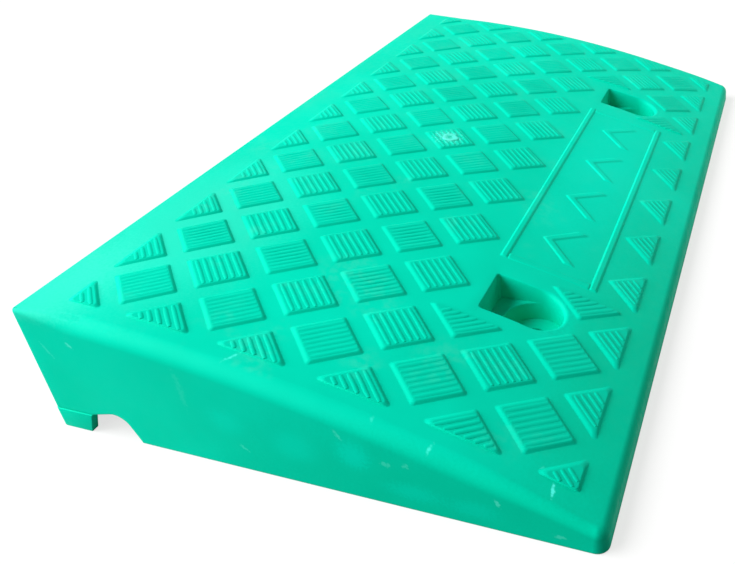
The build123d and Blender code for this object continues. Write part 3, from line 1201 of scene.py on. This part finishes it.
@dataclass
class Shell:
    """The moulding's outer skin: runs of stations round the plan, and the deck with its rim."""

    arc: DeckArc
    pockets: tuple[PocketForm, ...]
    end_half: float = 244.5 * MM
    inner_x: float = 239.3 * MM
    inner_y: float = 131 * MM
    thickness: float = 4 * MM
    end_lean: float = 1.2 / 69.4
    rear_lean: float = 1.1 / 69.4
    nose_lean: float = 0.8 / 9.9
    nose_corner: float = 5.6 * MM
    nose_degrees: float = 7.5
    rear_corner: float = 2.6 * MM
    rear_degrees: float = 15.0
    end_edge: float = 7.6 * MM
    end_edge_rear: float = 2.5 * MM
    end_edge_nose: float = 4.2 * MM
    edge_opens: Plan = (100 * MM, 134 * MM)
    edge_closes: Plan = (-70 * MM, -129 * MM)
    rear_edge: float = 1.8 * MM
    nose_edge: float = 5.6 * MM
    foot_bevel: float = 0.6 * MM
    foot_hold: float = 1.5 * MM
    lip: float = 0.8 * MM
    seam_drop: float = 1.0 * MM
    step: float = 5 * MM
    least_step: float = 0.8 * MM
    edge_steps: int = 8
    mouth_steps: int = 5
    lattice: Plan = (12 * MM, 5 * MM)
    top_margin: float = 8 * MM
    under_margin: float = 4 * MM
    pocket_margin: float = 5 * MM

    def station(self, x: float, y: float, out_x: float, out_y: float) -> Station:
        """Makes a station, with the lean and edge that belong to its outward way.

        Args:
            x: Place along the kerb.
            y: Place across the ramp.
            out_x: The outward way's part along the kerb.
            out_y: Its part across the ramp.

        Returns:
            The station.
        """
        across = out_y**2
        far_lean, far_edge = self.nose_lean, self.nose_edge
        if out_y > 0:
            far_lean, far_edge = self.rear_lean, self.rear_edge
        end_edge = self.end_edge
        end_edge += (self.end_edge_rear - self.end_edge) * ease(y, *self.edge_opens)
        end_edge += (self.end_edge_nose - self.end_edge) * ease(y, *self.edge_closes)
        lean = (1 - across) * self.end_lean + across * far_lean
        return Station(x, y, out_x, out_y, lean, (1 - across) * end_edge + across * far_edge)

    def nose_run(self) -> list[Station]:
        """Lists the stations from the left end round both front corners to the right end.

        Returns:
            The stations.
        """
        x, y = self.end_half - self.nose_corner, self.nose_corner - self.arc.half_width
        steps = on_arc((-x, y), self.nose_corner, math.pi, 3 * QUARTER, self.nose_degrees)
        steps += [(along, -self.arc.half_width, 0.0, -1.0) for along in between(-x, x, self.step)[1:-1]]
        steps += on_arc((x, y), self.nose_corner, 3 * QUARTER, 2 * math.pi, self.nose_degrees)
        return [self.station(*step) for step in steps]

    def end_run(self, side: End, breaks: Sequence[float] = ()) -> list[Station]:
        """Stations along one end, from the front corner to just round the rear one.

        Args:
            side: Which end.
            breaks: Places across the ramp that get a station of their own.

        Returns:
            The stations, from the nose to the kerb at the right end and back at the left one.
        """
        x, rear = self.end_half - self.rear_corner, self.arc.half_width - self.rear_corner
        places = between(self.nose_corner - self.arc.half_width, rear, self.step)
        places = [y for y in places if all(abs(y - at) > self.least_step for at in breaks)]
        steps = [(self.end_half, y, 1.0, 0.0) for y in sorted([*places, *breaks])]
        steps += on_arc((x, rear), self.rear_corner, 0, QUARTER, self.rear_degrees)[1:]
        steps.append((self.inner_x, self.arc.half_width, 0.0, 1.0))
        run = [self.station(*step) for step in steps]
        if side is End.RIGHT:
            return run
        return [place.mirrored() for place in reversed(run)]

    def rear_run(self) -> list[Station]:
        """Stations along the kerb, from the right end to the left one."""
        places = between(self.inner_x, -self.inner_x, self.step)
        return [self.station(x, self.arc.half_width, 0.0, 1.0) for x in places]

    def inner(self, place: Station, z: float) -> Vector:
        """Finds the point of the walls' inner face that lies behind a station.

        Args:
            place: The station.
            z: The height.

        Returns:
            The point on the inner face.
        """
        x = min(self.inner_x, max(-self.inner_x, place.x))
        y = min(self.inner_y, max(-self.inner_y, place.y))
        return Vector((x, y, z))

    def seam(self, place: Station) -> float:
        """Height at which the deck's rim hands over to the wall below it."""
        rim = edge_section(self.arc, place, 1)[0].z - self.seam_drop
        return min(rim, self.underside(self.inner(place, 0).y) - self.lip)

    def underside(self, y: float) -> float:
        """Height of the deck's lower face at a place across the ramp."""
        return self.arc.height(y, -self.thickness)

    def under(self, x: float, y: float) -> Vector:
        """The point of the deck's lower face at a place in plan."""
        return Vector((x, y, self.underside(y)))

    def build_deck(self, material: Material) -> Piece:
        """Builds the deck with its rounded rim and the two pocket mouths.

        Args:
            material: The plastic.

        Returns:
            The finished deck.
        """
        mesher = Mesher()
        runs = (self.nose_run(), self.end_run(End.RIGHT), self.rear_run(), self.end_run(End.LEFT))
        plan = [place for run in runs for place in run[:-1]]
        rim = [edge_section(self.arc, place, self.edge_steps) for place in plan]
        bands = [
            mesher.ring(self.under(*self.inner(place, 0).xy) for place in plan),
            mesher.ring(self.inner(place, self.seam(place)) for place in plan),
            mesher.ring(place.at(self.seam(place)) for place in plan),
            *(mesher.ring(points) for points in zip(*rim)),
        ]
        mesher.skin(bands)
        mouths_top, mouths_low = [], []
        for pocket in self.pockets:
            mouth = [edge_section(self.arc, place, self.mouth_steps) for place in pocket.mouth()]
            low = mesher.ring(self.under(place.x, place.y) for place in pocket.mouth())
            rings = [low, *(mesher.ring(points) for points in zip(*mouth))]
            mesher.skin(rings)
            mouths_top.append(rings[-1])
            mouths_low.append(low)
        mesher.sheet(bands[-1], mouths_top, self._inside(self.top_margin), self.arc.height)
        mesher.sheet(bands[0], mouths_low, self._inside(self.under_margin), self.underside)
        return mesher.finish("deck_moulding", material)

    def _inside(self, margin: float) -> list[Plan]:
        """Even places inside the rim and outside the pockets, for the deck's inner points.

        Args:
            margin: The least distance to the inner face of the walls.

        Returns:
            The places.
        """
        half_x, half_y = self.inner_x - margin, self.inner_y - margin
        return [
            (x, y)
            for x in between(-half_x, half_x, self.lattice[0])
            for y in between(-half_y, half_y, self.lattice[1])
            if all(pocket.is_clear(x, y, self.pocket_margin) for pocket in self.pockets)
        ]

    def build_strip(
        self, name: str, run: Sequence[Station], material: Material, bottom: Callable[[float], float]
    ) -> Piece:
        """Builds the wall below a run of the rim.

        Args:
            name: The piece's name.
            run: The stations along it.
            material: The plastic.
            bottom: Height of its lower edge at a place across the ramp.

        Returns:
            The finished wall.
        """
        mesher = Mesher()
        rings = [
            mesher.ring(place.at(self.seam(place)) for place in run),
            mesher.ring(place.at(bottom(place.y) + self.foot_hold) for place in run),
            mesher.ring(place.at(bottom(place.y)) for place in run),
            mesher.ring(self.inner(place, bottom(place.y)) for place in run),
            mesher.ring(self.inner(place, self.seam(place)) for place in run),
        ]
        mesher.skin([*rings, rings[0]], closed=False)
        mesher.cap([ring[0] for ring in rings])
        mesher.cap([ring[-1] for ring in reversed(rings)])
        mesher.soften(rings[2])
        return mesher.finish(name, material, self.foot_bevel)


@dataclass
class RainChannel:
    """The channel beside the kerb that passes through both end walls, and the feet behind it."""

    shell: Shell
    front: float = 84.9 * MM
    foot_front: float = 116.1 * MM
    crown: float = 16.4 * MM
    front_lean: float = 7 * MM
    rear_lean: float = 4.6 * MM
    crown_round: float = 9 * MM
    crown_degrees: float = 9.0
    front_step: float = 0.01 * MM
    foot_height: float = 11.3 * MM
    foot_corner: float = 3.0 * MM
    foot_degrees: float = 15.0
    foot_wall: float = 4 * MM
    foot_bevel: float = 0.3 * MM
    foot_outer: float = 244.8 * MM
    heel_depth: float = 4 * MM

    @property
    def foot_top_front(self) -> float:
        """Where the channel's roof meets the top of the foot."""
        return self.foot_front - self.rear_lean

    @cached_property
    def profile(self) -> list[Plan]:
        """The lower edge of an end wall round the channel, with a rounded crown.

        Returns:
            Places across the ramp with their heights, from the channel's front to the kerb.
        """
        corner = Vector((self.front + self.front_lean, self.crown))
        down_front = (Vector((self.front, 0.0)) - corner).normalized()
        down_rear = (Vector((self.foot_top_front, self.foot_height)) - corner).normalized()
        half = down_front.angle(down_rear) / 2
        centre = corner + (down_front + down_rear).normalized() * (self.crown_round / math.sin(half))
        first = math.atan2(-down_front.x, down_front.y)
        last = math.atan2(down_rear.x, -down_rear.y)
        roof = on_arc(centre, self.crown_round, first, last, self.crown_degrees)
        return [
            (self.front - self.front_step, 0.0),
            (self.front, 0.0),
            *((y, z) for y, z, _, _ in roof),
            (self.foot_top_front, self.foot_height),
            (self.shell.arc.half_width, self.foot_height),
        ]

    def bottom(self, y: float) -> float:
        """Finds how high an end wall's lower edge lies.

        Args:
            y: The place across the ramp.

        Returns:
            The height above the road.
        """
        if y <= self.front:
            return 0.0
        for (ay, az), (by, bz) in zip(self.profile, self.profile[1:]):
            if ay <= y <= by:
                return az + (bz - az) * (y - ay) / (by - ay)
        return self.foot_height

    def build_foot(self, side: End, material: Material) -> Piece:
        """Builds the proud foot between the channel and the kerb: a thin wall with a heel at the kerb.

        Args:
            side: Which end it is at.
            material: The plastic.

        Returns:
            The finished foot.
        """
        mesher = Mesher()
        rings = []
        for front, z in ((self.foot_front, 0.0), (self.foot_top_front, self.foot_height)):
            rings.append(mesher.ring(Vector((side.value * x, y, z)) for x, y in self._foot_plan(front)))
        mesher.skin(rings)
        for ring in rings:
            mesher.cap(ring)
            mesher.soften(ring[1:-2])
        mesher.soften([ring[1] for ring in rings])
        return mesher.finish(f"{side.label}_foot_moulding", material, self.foot_bevel)

    def _foot_plan(self, front: float) -> list[Plan]:
        """Draws the right foot's plan, from its inner front corner round to the heel's inside.

        Args:
            front: Where the foot's front is.

        Returns:
            The corners of the plan.
        """
        inner, outer, rear = self.shell.inner_x, self.foot_outer, self.shell.arc.half_width
        wall, heel, corner = outer - self.foot_wall, rear - self.heel_depth, self.foot_corner
        turn = on_arc((outer - corner, rear - corner), corner, 0, QUARTER, self.foot_degrees)
        round_corner = [(x, y) for x, y, _, _ in turn]
        return [(wall, front), (outer, front), *round_corner, (inner, rear), (inner, heel), (wall, heel)]


@dataclass
class BoltPocket:
    """The tub under a pocket's mouth: a straight-sided well, a ledge and a round counterbore."""

    form: PocketForm
    shell: Shell
    wall: float = 3.5 * MM
    ledge: float = 23 * MM
    ledge_edge: float = 0.8 * MM
    edge_steps: int = 4
    cup_bottom: float = 9 * MM
    floor: float = 4 * MM

    def build(self, material: Material) -> Piece:
        """Builds the tub as one closed wall.

        Args:
            material: The plastic.

        Returns:
            The finished tub.
        """
        form, mesher = self.form, Mesher()
        inside = [step[:2] for step in form.walk()]
        outside = [step[:2] for step in form.walk(self.wall)]
        outer, under_ledge = form.radius + self.wall, self.ledge - self.floor
        rings = [
            [self.shell.under(*place) for place in inside],
            [Vector((*place, self.ledge)) for place in inside],
        ]
        for turn in between(0, QUARTER, QUARTER / self.edge_steps):
            edge = form.circle(form.radius + self.ledge_edge * (1 - math.sin(turn)), 0)
            z = self.ledge - self.ledge_edge * (1 - math.cos(turn))
            rings.append([self._held(point, z) for point in edge])
        rings += [
            form.circle(form.radius, self.cup_bottom),
            form.circle(outer, self.cup_bottom),
            form.circle(outer, under_ledge),
            [Vector((*place, under_ledge)) for place in outside],
            [self.shell.under(*place) for place in outside],
        ]
        made = [mesher.ring(points) for points in rings]
        mesher.skin([*made, made[0]])
        return mesher.finish(f"{form.side.label}_pocket_moulding", material)

    def _held(self, point: Vector, z: float) -> Vector:
        """Keeps a point of the counterbore's edge inside the well's walls.

        Args:
            point: The point in plan.
            z: The point's height.

        Returns:
            The point in its place.
        """
        form = self.form
        x, y = form.centre
        away = Vector((point.x - x, point.y - y))
        if away.y < 0 and away.length > form.radius:
            away = away.normalized() * form.radius
        away.x = min(form.radius, max(-form.radius, away.x))
        return Vector((x + away.x, y + away.y, z))


@dataclass
class GateMark:
    """The round vestige where the plastic was injected: a pale, slightly dished disc."""

    arc: DeckArc
    place: Plan = (0.0, 18.7 * MM)
    radius: float = 5 * MM
    gap: float = 0.4 * MM
    seat: float = 0.9 * MM
    root: float = 0.3 * MM
    height: float = 0.5 * MM
    dish: float = 0.35 * MM
    wobble: float = 0.05
    ring_degrees: float = 10.0

    def build(self, material: Material) -> Piece:
        """Builds the disc.

        Args:
            material: The pale plastic.

        Returns:
            The finished disc.
        """
        mesher = Mesher()
        shape = [
            (1.0, -self.root), (1.0, 0.55 * self.height), (0.95, 0.85 * self.height), (0.86, self.height),
            (0.62, self.height - 0.3 * self.dish), (0.34, self.height - self.dish),
        ]
        rings = [mesher.ring(self._points(share, lift)) for share, lift in shape]
        mesher.skin(rings)
        mesher.cap(rings[-1])
        mesher.cap(list(reversed(rings[0])))
        return mesher.finish("gate_disc", material)

    def _points(self, share: float, lift: float) -> list[Vector]:
        """Draws one slightly wavy ring of the disc.

        Args:
            share: The ring's share of the disc's radius.
            lift: Its height above the tread.

        Returns:
            The ring's points.
        """
        points = []
        for angle in between(0, 2 * math.pi, math.radians(self.ring_degrees))[:-1]:
            waves = math.sin(3 * angle) + math.cos(5 * angle + 1)
            reach = share * self.radius * (1 + self.wobble * waves)
            x = self.place[0] + reach * math.cos(angle)
            y = self.place[1] + reach * math.sin(angle)
            points.append(Vector((x, y, self.arc.height(y, self.seat + lift))))
        return points

    def spare(self, start: Plan, end: Plan) -> list[tuple[Plan, Plan]]:
        """Breaks a rib where the disc stands.

        Args:
            start: The rib's first end.
            end: Its other end.

        Returns:
            The stretches that stay.
        """
        first, last = Vector(start), Vector(end)
        long = (last - first).length
        if long == 0:
            return []
        along = (last - first) / long
        to_disc = Vector(self.place) - first
        middle, away = to_disc.dot(along), to_disc.x * along.y - to_disc.y * along.x
        clear = self.radius + self.gap
        if abs(away) >= clear or not -clear < middle < long + clear:
            return [(start, end)]
        half = math.sqrt(clear**2 - away**2)
        cuts = [(0.0, middle - half), (middle + half, long)]
        return [(tuple(first + along * a), tuple(first + along * b)) for a, b in cuts if b > a]


@dataclass
class Panel:
    """The framed panel between the pockets, with plain chevrons in it."""

    tree: ReliefTree
    half: float = 106 * MM
    middle: float = -74.5 * MM
    depth: float = 47 * MM
    bar_width: float = 4 * MM
    end_width: float = 5 * MM
    land: float = 8.2 * MM
    chevron_count: int = 4
    chevron_span: float = 34 * MM
    chevron_rise: float = 16 * MM
    chevron_stroke: float = 6 * MM
    bar: Relief = Relief(0.6 * MM, 1.1 * MM, 0.5 * MM)
    end_bar: Relief = Relief(0.4 * MM, 0.8 * MM, 0.6 * MM)
    mark: Relief = Relief(0.55 * MM, 1.1 * MM, 0.7 * MM)

    def is_beside(self, y: float) -> bool:
        """Whether a place across the ramp lies between the panel's outer edges."""
        return abs(y - self.middle) < (self.depth + self.bar_width) / 2

    def build(self, material: Material) -> None:
        """Builds the four bars and the chevrons.

        Args:
            material: The plastic.
        """
        bars = {}
        for name, way in (("uphill", 1), ("downhill", -1)):
            place = 0.0, self.middle + way * self.depth / 2
            bars[name] = self._oblong(place, 2 * self.half, self.bar_width), self.bar
        for side in End:
            place = side.value * (self.half - self.end_width / 2), self.middle
            outline = self._oblong(place, self.end_width, self.depth - self.bar_width)
            bars[side.label] = outline, self.end_bar
        for name, (outline, relief) in bars.items():
            settle(self.tree.raise_piece(f"{name}_bar", [outline], relief, material), f"panel_{name}_bar")
        pitch = 2 * (self.half - self.end_width) / self.chevron_count
        places = [(index - (self.chevron_count - 1) / 2) * pitch for index in range(self.chevron_count)]
        outlines = [self._chevron(x) for x in places]
        settle(self.tree.raise_piece("chevrons", outlines, self.mark, material), "panel_marks")

    @staticmethod
    def _oblong(place: Plan, long: float, wide: float) -> list[Plan]:
        """The outline of a bar about its middle."""
        corners = ((-1, -1), (1, -1), (1, 1), (-1, 1))
        return [(place[0] + x * long / 2, place[1] + y * wide / 2) for x, y in corners]

    def _chevron(self, x: float) -> list[Plan]:
        """Draws the outline of one chevron, which points uphill.

        Args:
            x: The chevron's middle along the panel.

        Returns:
            The corners, counter-clockwise.
        """
        half = self.chevron_span / 2
        low = self.middle - (self.chevron_rise + self.chevron_stroke) / 2
        top = low + self.chevron_rise
        lower = [(x - half, low), (x, top), (x + half, low)]
        return lower + [(x, y + self.chevron_stroke) for x, y in reversed(lower)]


@dataclass(frozen=True)
class TreadPlace:
    """One tread's place on the lattice and the halves of it that are kept."""

    x: float
    y: float
    keep_x: int
    keep_y: int
    lay: RibLay


@dataclass
class TreadField:
    """The diamond treads: plates on a lattice, with ribs that turn from tread to tread."""

    tree: ReliefTree
    pockets: tuple[PocketForm, ...]
    panel: Panel
    gate: GateMark
    pitch_long: float = 46 * MM
    pitch_cross: float = 46.5 * MM
    first_row: float = 111.7 * MM
    columns: int = 10
    rows: int = 5
    reach: float = 16.6 * MM
    rib_inset: float = 1.5 * MM
    rib_shortest: float = 3.0 * MM
    rim_gap: float = 0.4 * MM
    pocket_gap: float = 7 * MM
    swapped: tuple[int, int] = (8, 0)
    relief: Relief = Relief(
        0.9 * MM, 1.1 * MM, 1.3 * MM, trail=0.8 * MM, corner_radius=1.4 * MM, rib_sway=0.2 * MM
    )

    def build(self, material: Material) -> None:
        """Builds every row of treads, from the kerb to the nose, as a piece of its own.

        Args:
            material: The plastic.
        """
        for step in range(2 * self.rows + 1):
            places = self._row(step)
            outlines = [self._outline(place) for place in places]
            cuts = [self._cut(place) for place in places]
            ribs = [rib for place in places for rib in self._ribs(place)]
            relief = replace(self.relief, rib_height=places[-1].lay.height)
            name = f"{step + 1:02d}"
            piece = self.tree.raise_piece(f"treads_{name}", outlines, relief, material, ribs, cuts)
            settle(piece, f"tread_row_{name}")

    def _row(self, step: int) -> list[TreadPlace]:
        """Lists the treads of one row.

        Args:
            step: The row's number from the kerb, in half pitches.

        Returns:
            The treads that the pockets and the panel leave room for.
        """
        y = self.first_row - step / 2 * self.pitch_cross
        crossing = step % 2 == 0
        keep_y = -1 if step == 0 else 1 if step == 2 * self.rows else 0
        places = []
        for index in range(self.columns + 1 if crossing else self.columns):
            column = index if crossing else index + 0.5
            x = (column - self.columns / 2) * self.pitch_long
            keep_x = 1 if column == 0 else -1 if column == self.columns else 0
            if self._is_free(x, y):
                lay = RibLay.CROSSING if crossing and (step, index) != self.swapped else RibLay.INNER
                places.append(TreadPlace(x, y, keep_x, keep_y, lay))
        return places

    def _is_free(self, x: float, y: float) -> bool:
        """Whether a tread's middle lies clear of the panel and of both pockets.

        Args:
            x: The middle's place along the kerb.
            y: Its place across the ramp.

        Returns:
            True where there is room for the tread.
        """
        if abs(x) < self.panel.half and self.panel.is_beside(y):
            return False
        for pocket in self.pockets:
            away_x = max(0.0, abs(x - pocket.centre[0]) - pocket.radius)
            away_y = max(0.0, y - pocket.bolt_y - pocket.back, pocket.bolt_y - pocket.radius - y)
            if math.hypot(away_x, away_y) < self.pocket_gap:
                return False
        return True

    def _outline(self, place: TreadPlace, inset: float = 0.0) -> list[Plan]:
        """Draws a tread's outline, or one inside it.

        Args:
            place: The tread.
            inset: How far inside the tread's edges the outline runs.

        Returns:
            The corners, counter-clockwise.
        """
        x, y = place.x, place.y
        reach = self.reach - inset * math.sqrt(2)
        outline: list[Plan] = [(x + reach, y), (x, y + reach), (x - reach, y), (x, y - reach)]
        cut = self._cut(place)
        if cut is not None:
            keep = place.keep_x or math.copysign(1, x)
            outline = clip(outline, (-keep, 0), -min(inset, self.rim_gap) - keep * cut)
        if place.keep_y:
            outline = clip(outline, (0, -place.keep_y), -inset - place.keep_y * y)
        return outline

    def _cut(self, place: TreadPlace) -> float | None:
        """Finds the place along the kerb where a tread is cut off sheer.

        Args:
            place: The tread.

        Returns:
            The cut at an end, beside a pocket or beside the panel, or None for a tread clear of them.
        """
        form = self.pockets[0]
        away = abs(place.x)
        if place.keep_x:
            return place.x
        if away > form.bolt_x and form.bolt_y < place.y < form.bolt_y + form.back + form.land:
            return math.copysign(form.bolt_x + form.radius + form.land, place.x)
        if away > self.panel.half and self.panel.is_beside(place.y):
            return math.copysign(self.panel.half + self.panel.land, place.x)
        return None

    def _ribs(self, place: TreadPlace) -> list[tuple[Plan, Plan]]:
        """Draws the ribs' middle lines on a tread.

        Args:
            place: The tread.

        Returns:
            Both ends of each rib.
        """
        count, turn = place.lay.count, place.lay.turn
        region = self._outline(place, self.rib_inset)
        pitch = (math.sqrt(2) * self.reach - 2 * self.rib_inset) / count
        ribs = []
        for index in range(count):
            away = (index - (count - 1) / 2) * pitch
            through = place.x - math.sin(turn) * away, place.y + math.cos(turn) * away
            for start, end in crossings(region, through, turn):
                ribs += self.gate.spare(start, end)
        return [rib for rib in ribs if math.dist(*rib) > self.rib_shortest]


@dataclass
class Ramp:
    """The whole ramp: the shell, the channel's feet, the pockets, the treads and the panel."""

    plastic: MouldedPlastic
    tread_plastic: MouldedPlastic
    gate_plastic: MouldedPlastic
    arc: DeckArc = field(default_factory=DeckArc)

    def build(self) -> None:
        """Builds and settles every piece, and dyes the CAD nodes that stay as they are."""
        # The treads take a darker copy of the plastic, which is painted shade for their ribs.
        green, shaded_green, pale = (dye.build() for dye in (self.plastic, self.tread_plastic, self.gate_plastic))
        forms = tuple(PocketForm(side) for side in End)
        shell = Shell(self.arc, forms)
        self._build_shell(shell, green)
        for form in forms:
            settle(BoltPocket(form, shell).build(green), f"{form.side.label}_bolt_pocket")
        tree, gate = ReliefTree(self.arc), GateMark(self.arc)
        panel = Panel(tree)
        TreadField(tree, forms, panel, gate).build(shaded_green)
        panel.build(green)
        settle(gate.build(pale), "gate_mark", slot=GATE_SLOT)
        self._dye_frame(green)

    @staticmethod
    def _build_shell(shell: Shell, green: Material) -> None:
        """Builds the deck, the walls round it and the feet.

        Args:
            shell: The moulding's outer skin.
            green: The plastic.
        """
        channel = RainChannel(shell)
        settle(shell.build_deck(green), "deck", "left_pocket_rim", "right_pocket_rim")
        settle(shell.build_strip("nose_moulding", shell.nose_run(), green, lambda y: 0.0), "nose")
        settle(shell.build_strip("kerb_moulding", shell.rear_run(), green, lambda y: 0.0), "rear_wall")
        breaks = [y for y, _ in channel.profile[:-1]]
        for side in End:
            run = shell.end_run(side, breaks)
            wall = shell.build_strip(f"{side.label}_end_moulding", run, green, channel.bottom)
            settle(wall, f"{side.label}_end_wall")
            settle(channel.build_foot(side, green), f"{side.label}_rear_foot")

    @staticmethod
    def _dye_frame(green: Material) -> None:
        """Gives the plastic to the CAD nodes that nothing stands for.

        Args:
            green: The plastic.
        """
        for name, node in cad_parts.items():
            if not node.hide_render:
                node.material_slots[0].material = green
                LOG.info("%s: stays as the CAD node", name)


@dataclass(frozen=True)
class Lamp:
    """A round soft lamp that points at the ramp."""

    name: str
    place: Triple
    size: float
    power: float
    tint: Triple

    def hang(self) -> None:
        """Puts the lamp in the scene."""
        light = bpy.data.lights.new(self.name, "AREA")
        light.shape = "DISK"
        light.size = self.size
        light.energy = self.power
        light.color = self.tint
        holder = add_object(self.name, light)
        holder.location = self.place
        holder.rotation_euler = (-Vector(self.place)).to_track_quat("-Z", "Y").to_euler()


@dataclass
class Studio:
    """A pale floor, a soft key lamp from behind, weak lamps from front right and left, and the camera."""

    eye: Triple = (-0.42822, -0.16918, 0.24612)
    aim: Triple = (-0.13103, -0.03521, 0.030)
    roll: float = math.radians(-6.188)
    lens: float = 37.6226
    sensor: float = 36.0
    shift: Plan = (-0.12575, 0.013977)
    nearest: float = 0.01
    lamps: tuple[Lamp, ...] = (
        Lamp("key_lamp", (-1.5, 4.46, 3.72), 5.5, 762.0, (0.97, 0.98, 1.0)),
        Lamp("fill_lamp", (0.60, -0.45, 0.45), 0.4, 1.5, (1.0, 1.0, 0.85)),
        Lamp("side_lamp", (-1.02, 0.42, 0.47), 0.5, 3.0, (1.0, 1.0, 0.94)),
    )
    surround: float = 0.195
    surround_tint: Triple = (1.0, 1.0, 0.88)
    floor_half: float = 4.0
    floor_lift: float = 0.72
    floor_fades: Plan = (0.8, 2.2)
    paper: Triple = (0.52, 0.52, 0.455)
    paper_shade: Triple = (0.10, 0.10, 0.088)
    paper_seen: Triple = (0.86, 0.86, 0.86)
    left_shade_x: Plan = (-0.236, -0.246)
    left_shade_y: Plan = (0.32, -0.06)
    rear_shade_y: Plan = (0.130, 0.145)

    def build(self) -> None:
        """Sets up the view, the floor, the lamps, the surround and the camera."""
        bpy.context.scene.view_settings.view_transform = "Standard"
        self._floor()
        for lamp in self.lamps:
            lamp.hang()
        self._surround()
        self._camera()
        LOG.info("studio: floor, three lamps, surround and camera")

    def _floor(self) -> None:
        """Lays a floor that looks white to the camera, keeps a soft shadow and fades out far away."""
        material = bpy.data.materials.new("studio_paper")
        graph = Graph.blank(material)
        seen = self._seen(graph)
        place = graph.parts(graph.place)
        left = graph.ramp(place["X"], *self.left_shade_x)
        beside = graph.math("MULTIPLY", left, graph.ramp(place["Y"], *self.left_shade_y))
        shade = graph.math("MAXIMUM", beside, graph.ramp(place["Y"], *self.rear_shade_y))
        unseen = graph.blend(shade, (*self.paper, 1), (*self.paper_shade, 1))
        tone = graph.blend(seen, unseen, (*self.paper_seen, 1))
        paper = graph.shade("BsdfDiffuse", {"Color": tone})
        glow = graph.shade("Emission", {"Color": (1, 1, 1, 1), "Strength": 1.0})
        fade = graph.ramp(graph.length(graph.place), *self.floor_fades, (self.floor_lift, 1.0))
        lift = graph.math("MULTIPLY", seen, fade)
        mixed = graph.shade("MixShader", {0: lift, 1: paper, 2: glow})
        graph.add("ShaderNodeOutputMaterial", {"Surface": mixed})
        mesher = Mesher()
        half = self.floor_half
        corners = ((-half, -half, 0), (half, -half, 0), (half, half, 0), (-half, half, 0))
        mesher.cap(mesher.ring(corners))
        floor = mesher.finish("studio_floor", material)

    @staticmethod
    def _seen(graph: Graph) -> Socket:
        """One for what the camera sees, straight or in a gloss or through glass, and else nothing.

        Args:
            graph: The nodes of a material or world.

        Returns:
            The socket with one or nothing.
        """
        path = graph.add("ShaderNodeLightPath").outputs
        shown = graph.math("MAXIMUM", path["Is Camera Ray"], path["Is Glossy Ray"])
        return graph.math("MAXIMUM", shown, path["Is Transmission Ray"])

    def _surround(self) -> None:
        """Gives the world a plain light, and white to what the camera sees of it."""
        world = bpy.data.worlds.new("surround")
        graph = Graph.blank(world)
        seen = self._seen(graph)
        strength = graph.ramp(seen, 0.0, 1.0, (self.surround, 1.0))
        tint = graph.blend(seen, (*self.surround_tint, 1), (1, 1, 1, 1))
        light = graph.shade("Background", {"Color": tint, "Strength": strength})
        graph.add("ShaderNodeOutputWorld", {"Surface": light})
        bpy.context.scene.world = world

    def _camera(self) -> None:
        """Stands the camera at the photograph's angle."""
        camera = bpy.data.cameras.new("camera")
        camera.sensor_fit = "HORIZONTAL"
        camera.sensor_width = self.sensor
        camera.lens = self.lens
        camera.shift_x, camera.shift_y = self.shift
        camera.clip_start = self.nearest
        holder = add_object("camera", camera)
        forward = (Vector(self.aim) - Vector(self.eye)).normalized()
        level = forward.cross(Vector((0, 0, 1))).normalized()
        right = Matrix.Rotation(-self.roll, 3, forward) @ level
        up = right.cross(forward)
        turned = Matrix((right, up, -forward)).transposed().to_4x4()
        holder.matrix_world = Matrix.Translation(self.eye) @ turned
        bpy.context.scene.camera = holder


def main() -> None:
    """Builds the ramp and the studio."""
    logging.basicConfig(level=logging.INFO, format="%(name)s %(message)s")
    arc = DeckArc()
    plastic = MouldedPlastic(marks=WearAndPaintedLight(arc).marks())
    blush = Mark((0, 20, 56), (10, 10, 8), strength=0.5, tone=Tone.BLUSHED)
    # A darker copy of the green plastic: painted shade that stands for the shade between the treads'
    # ribs.
    treads = MouldedPlastic(
        "tread_plastic", colour=(0.0, 0.63, 0.425), deep=(0.0, 0.585, 0.39), marks=(blush,)
    )
    # Darker colour in the middle of the gate disc.
    dark_centre = Mark((0, 19.2, 56), (3.0, 2.6, 6), strength=0.8, fray=0.35, tone=Tone.DEEPER)
    gate = MouldedPlastic(
        "gate_plastic",
        colour=(0.16, 0.88, 0.74),
        deep=(0.05, 0.76, 0.60),
        dust=(0.45, 0.92, 0.84),
        dust_share=0.6,
        marks=(dark_centre,),
    )
    Ramp(plastic, treads, gate, arc).build()
    Studio().build()


if __name__ == "__main__":
    main()
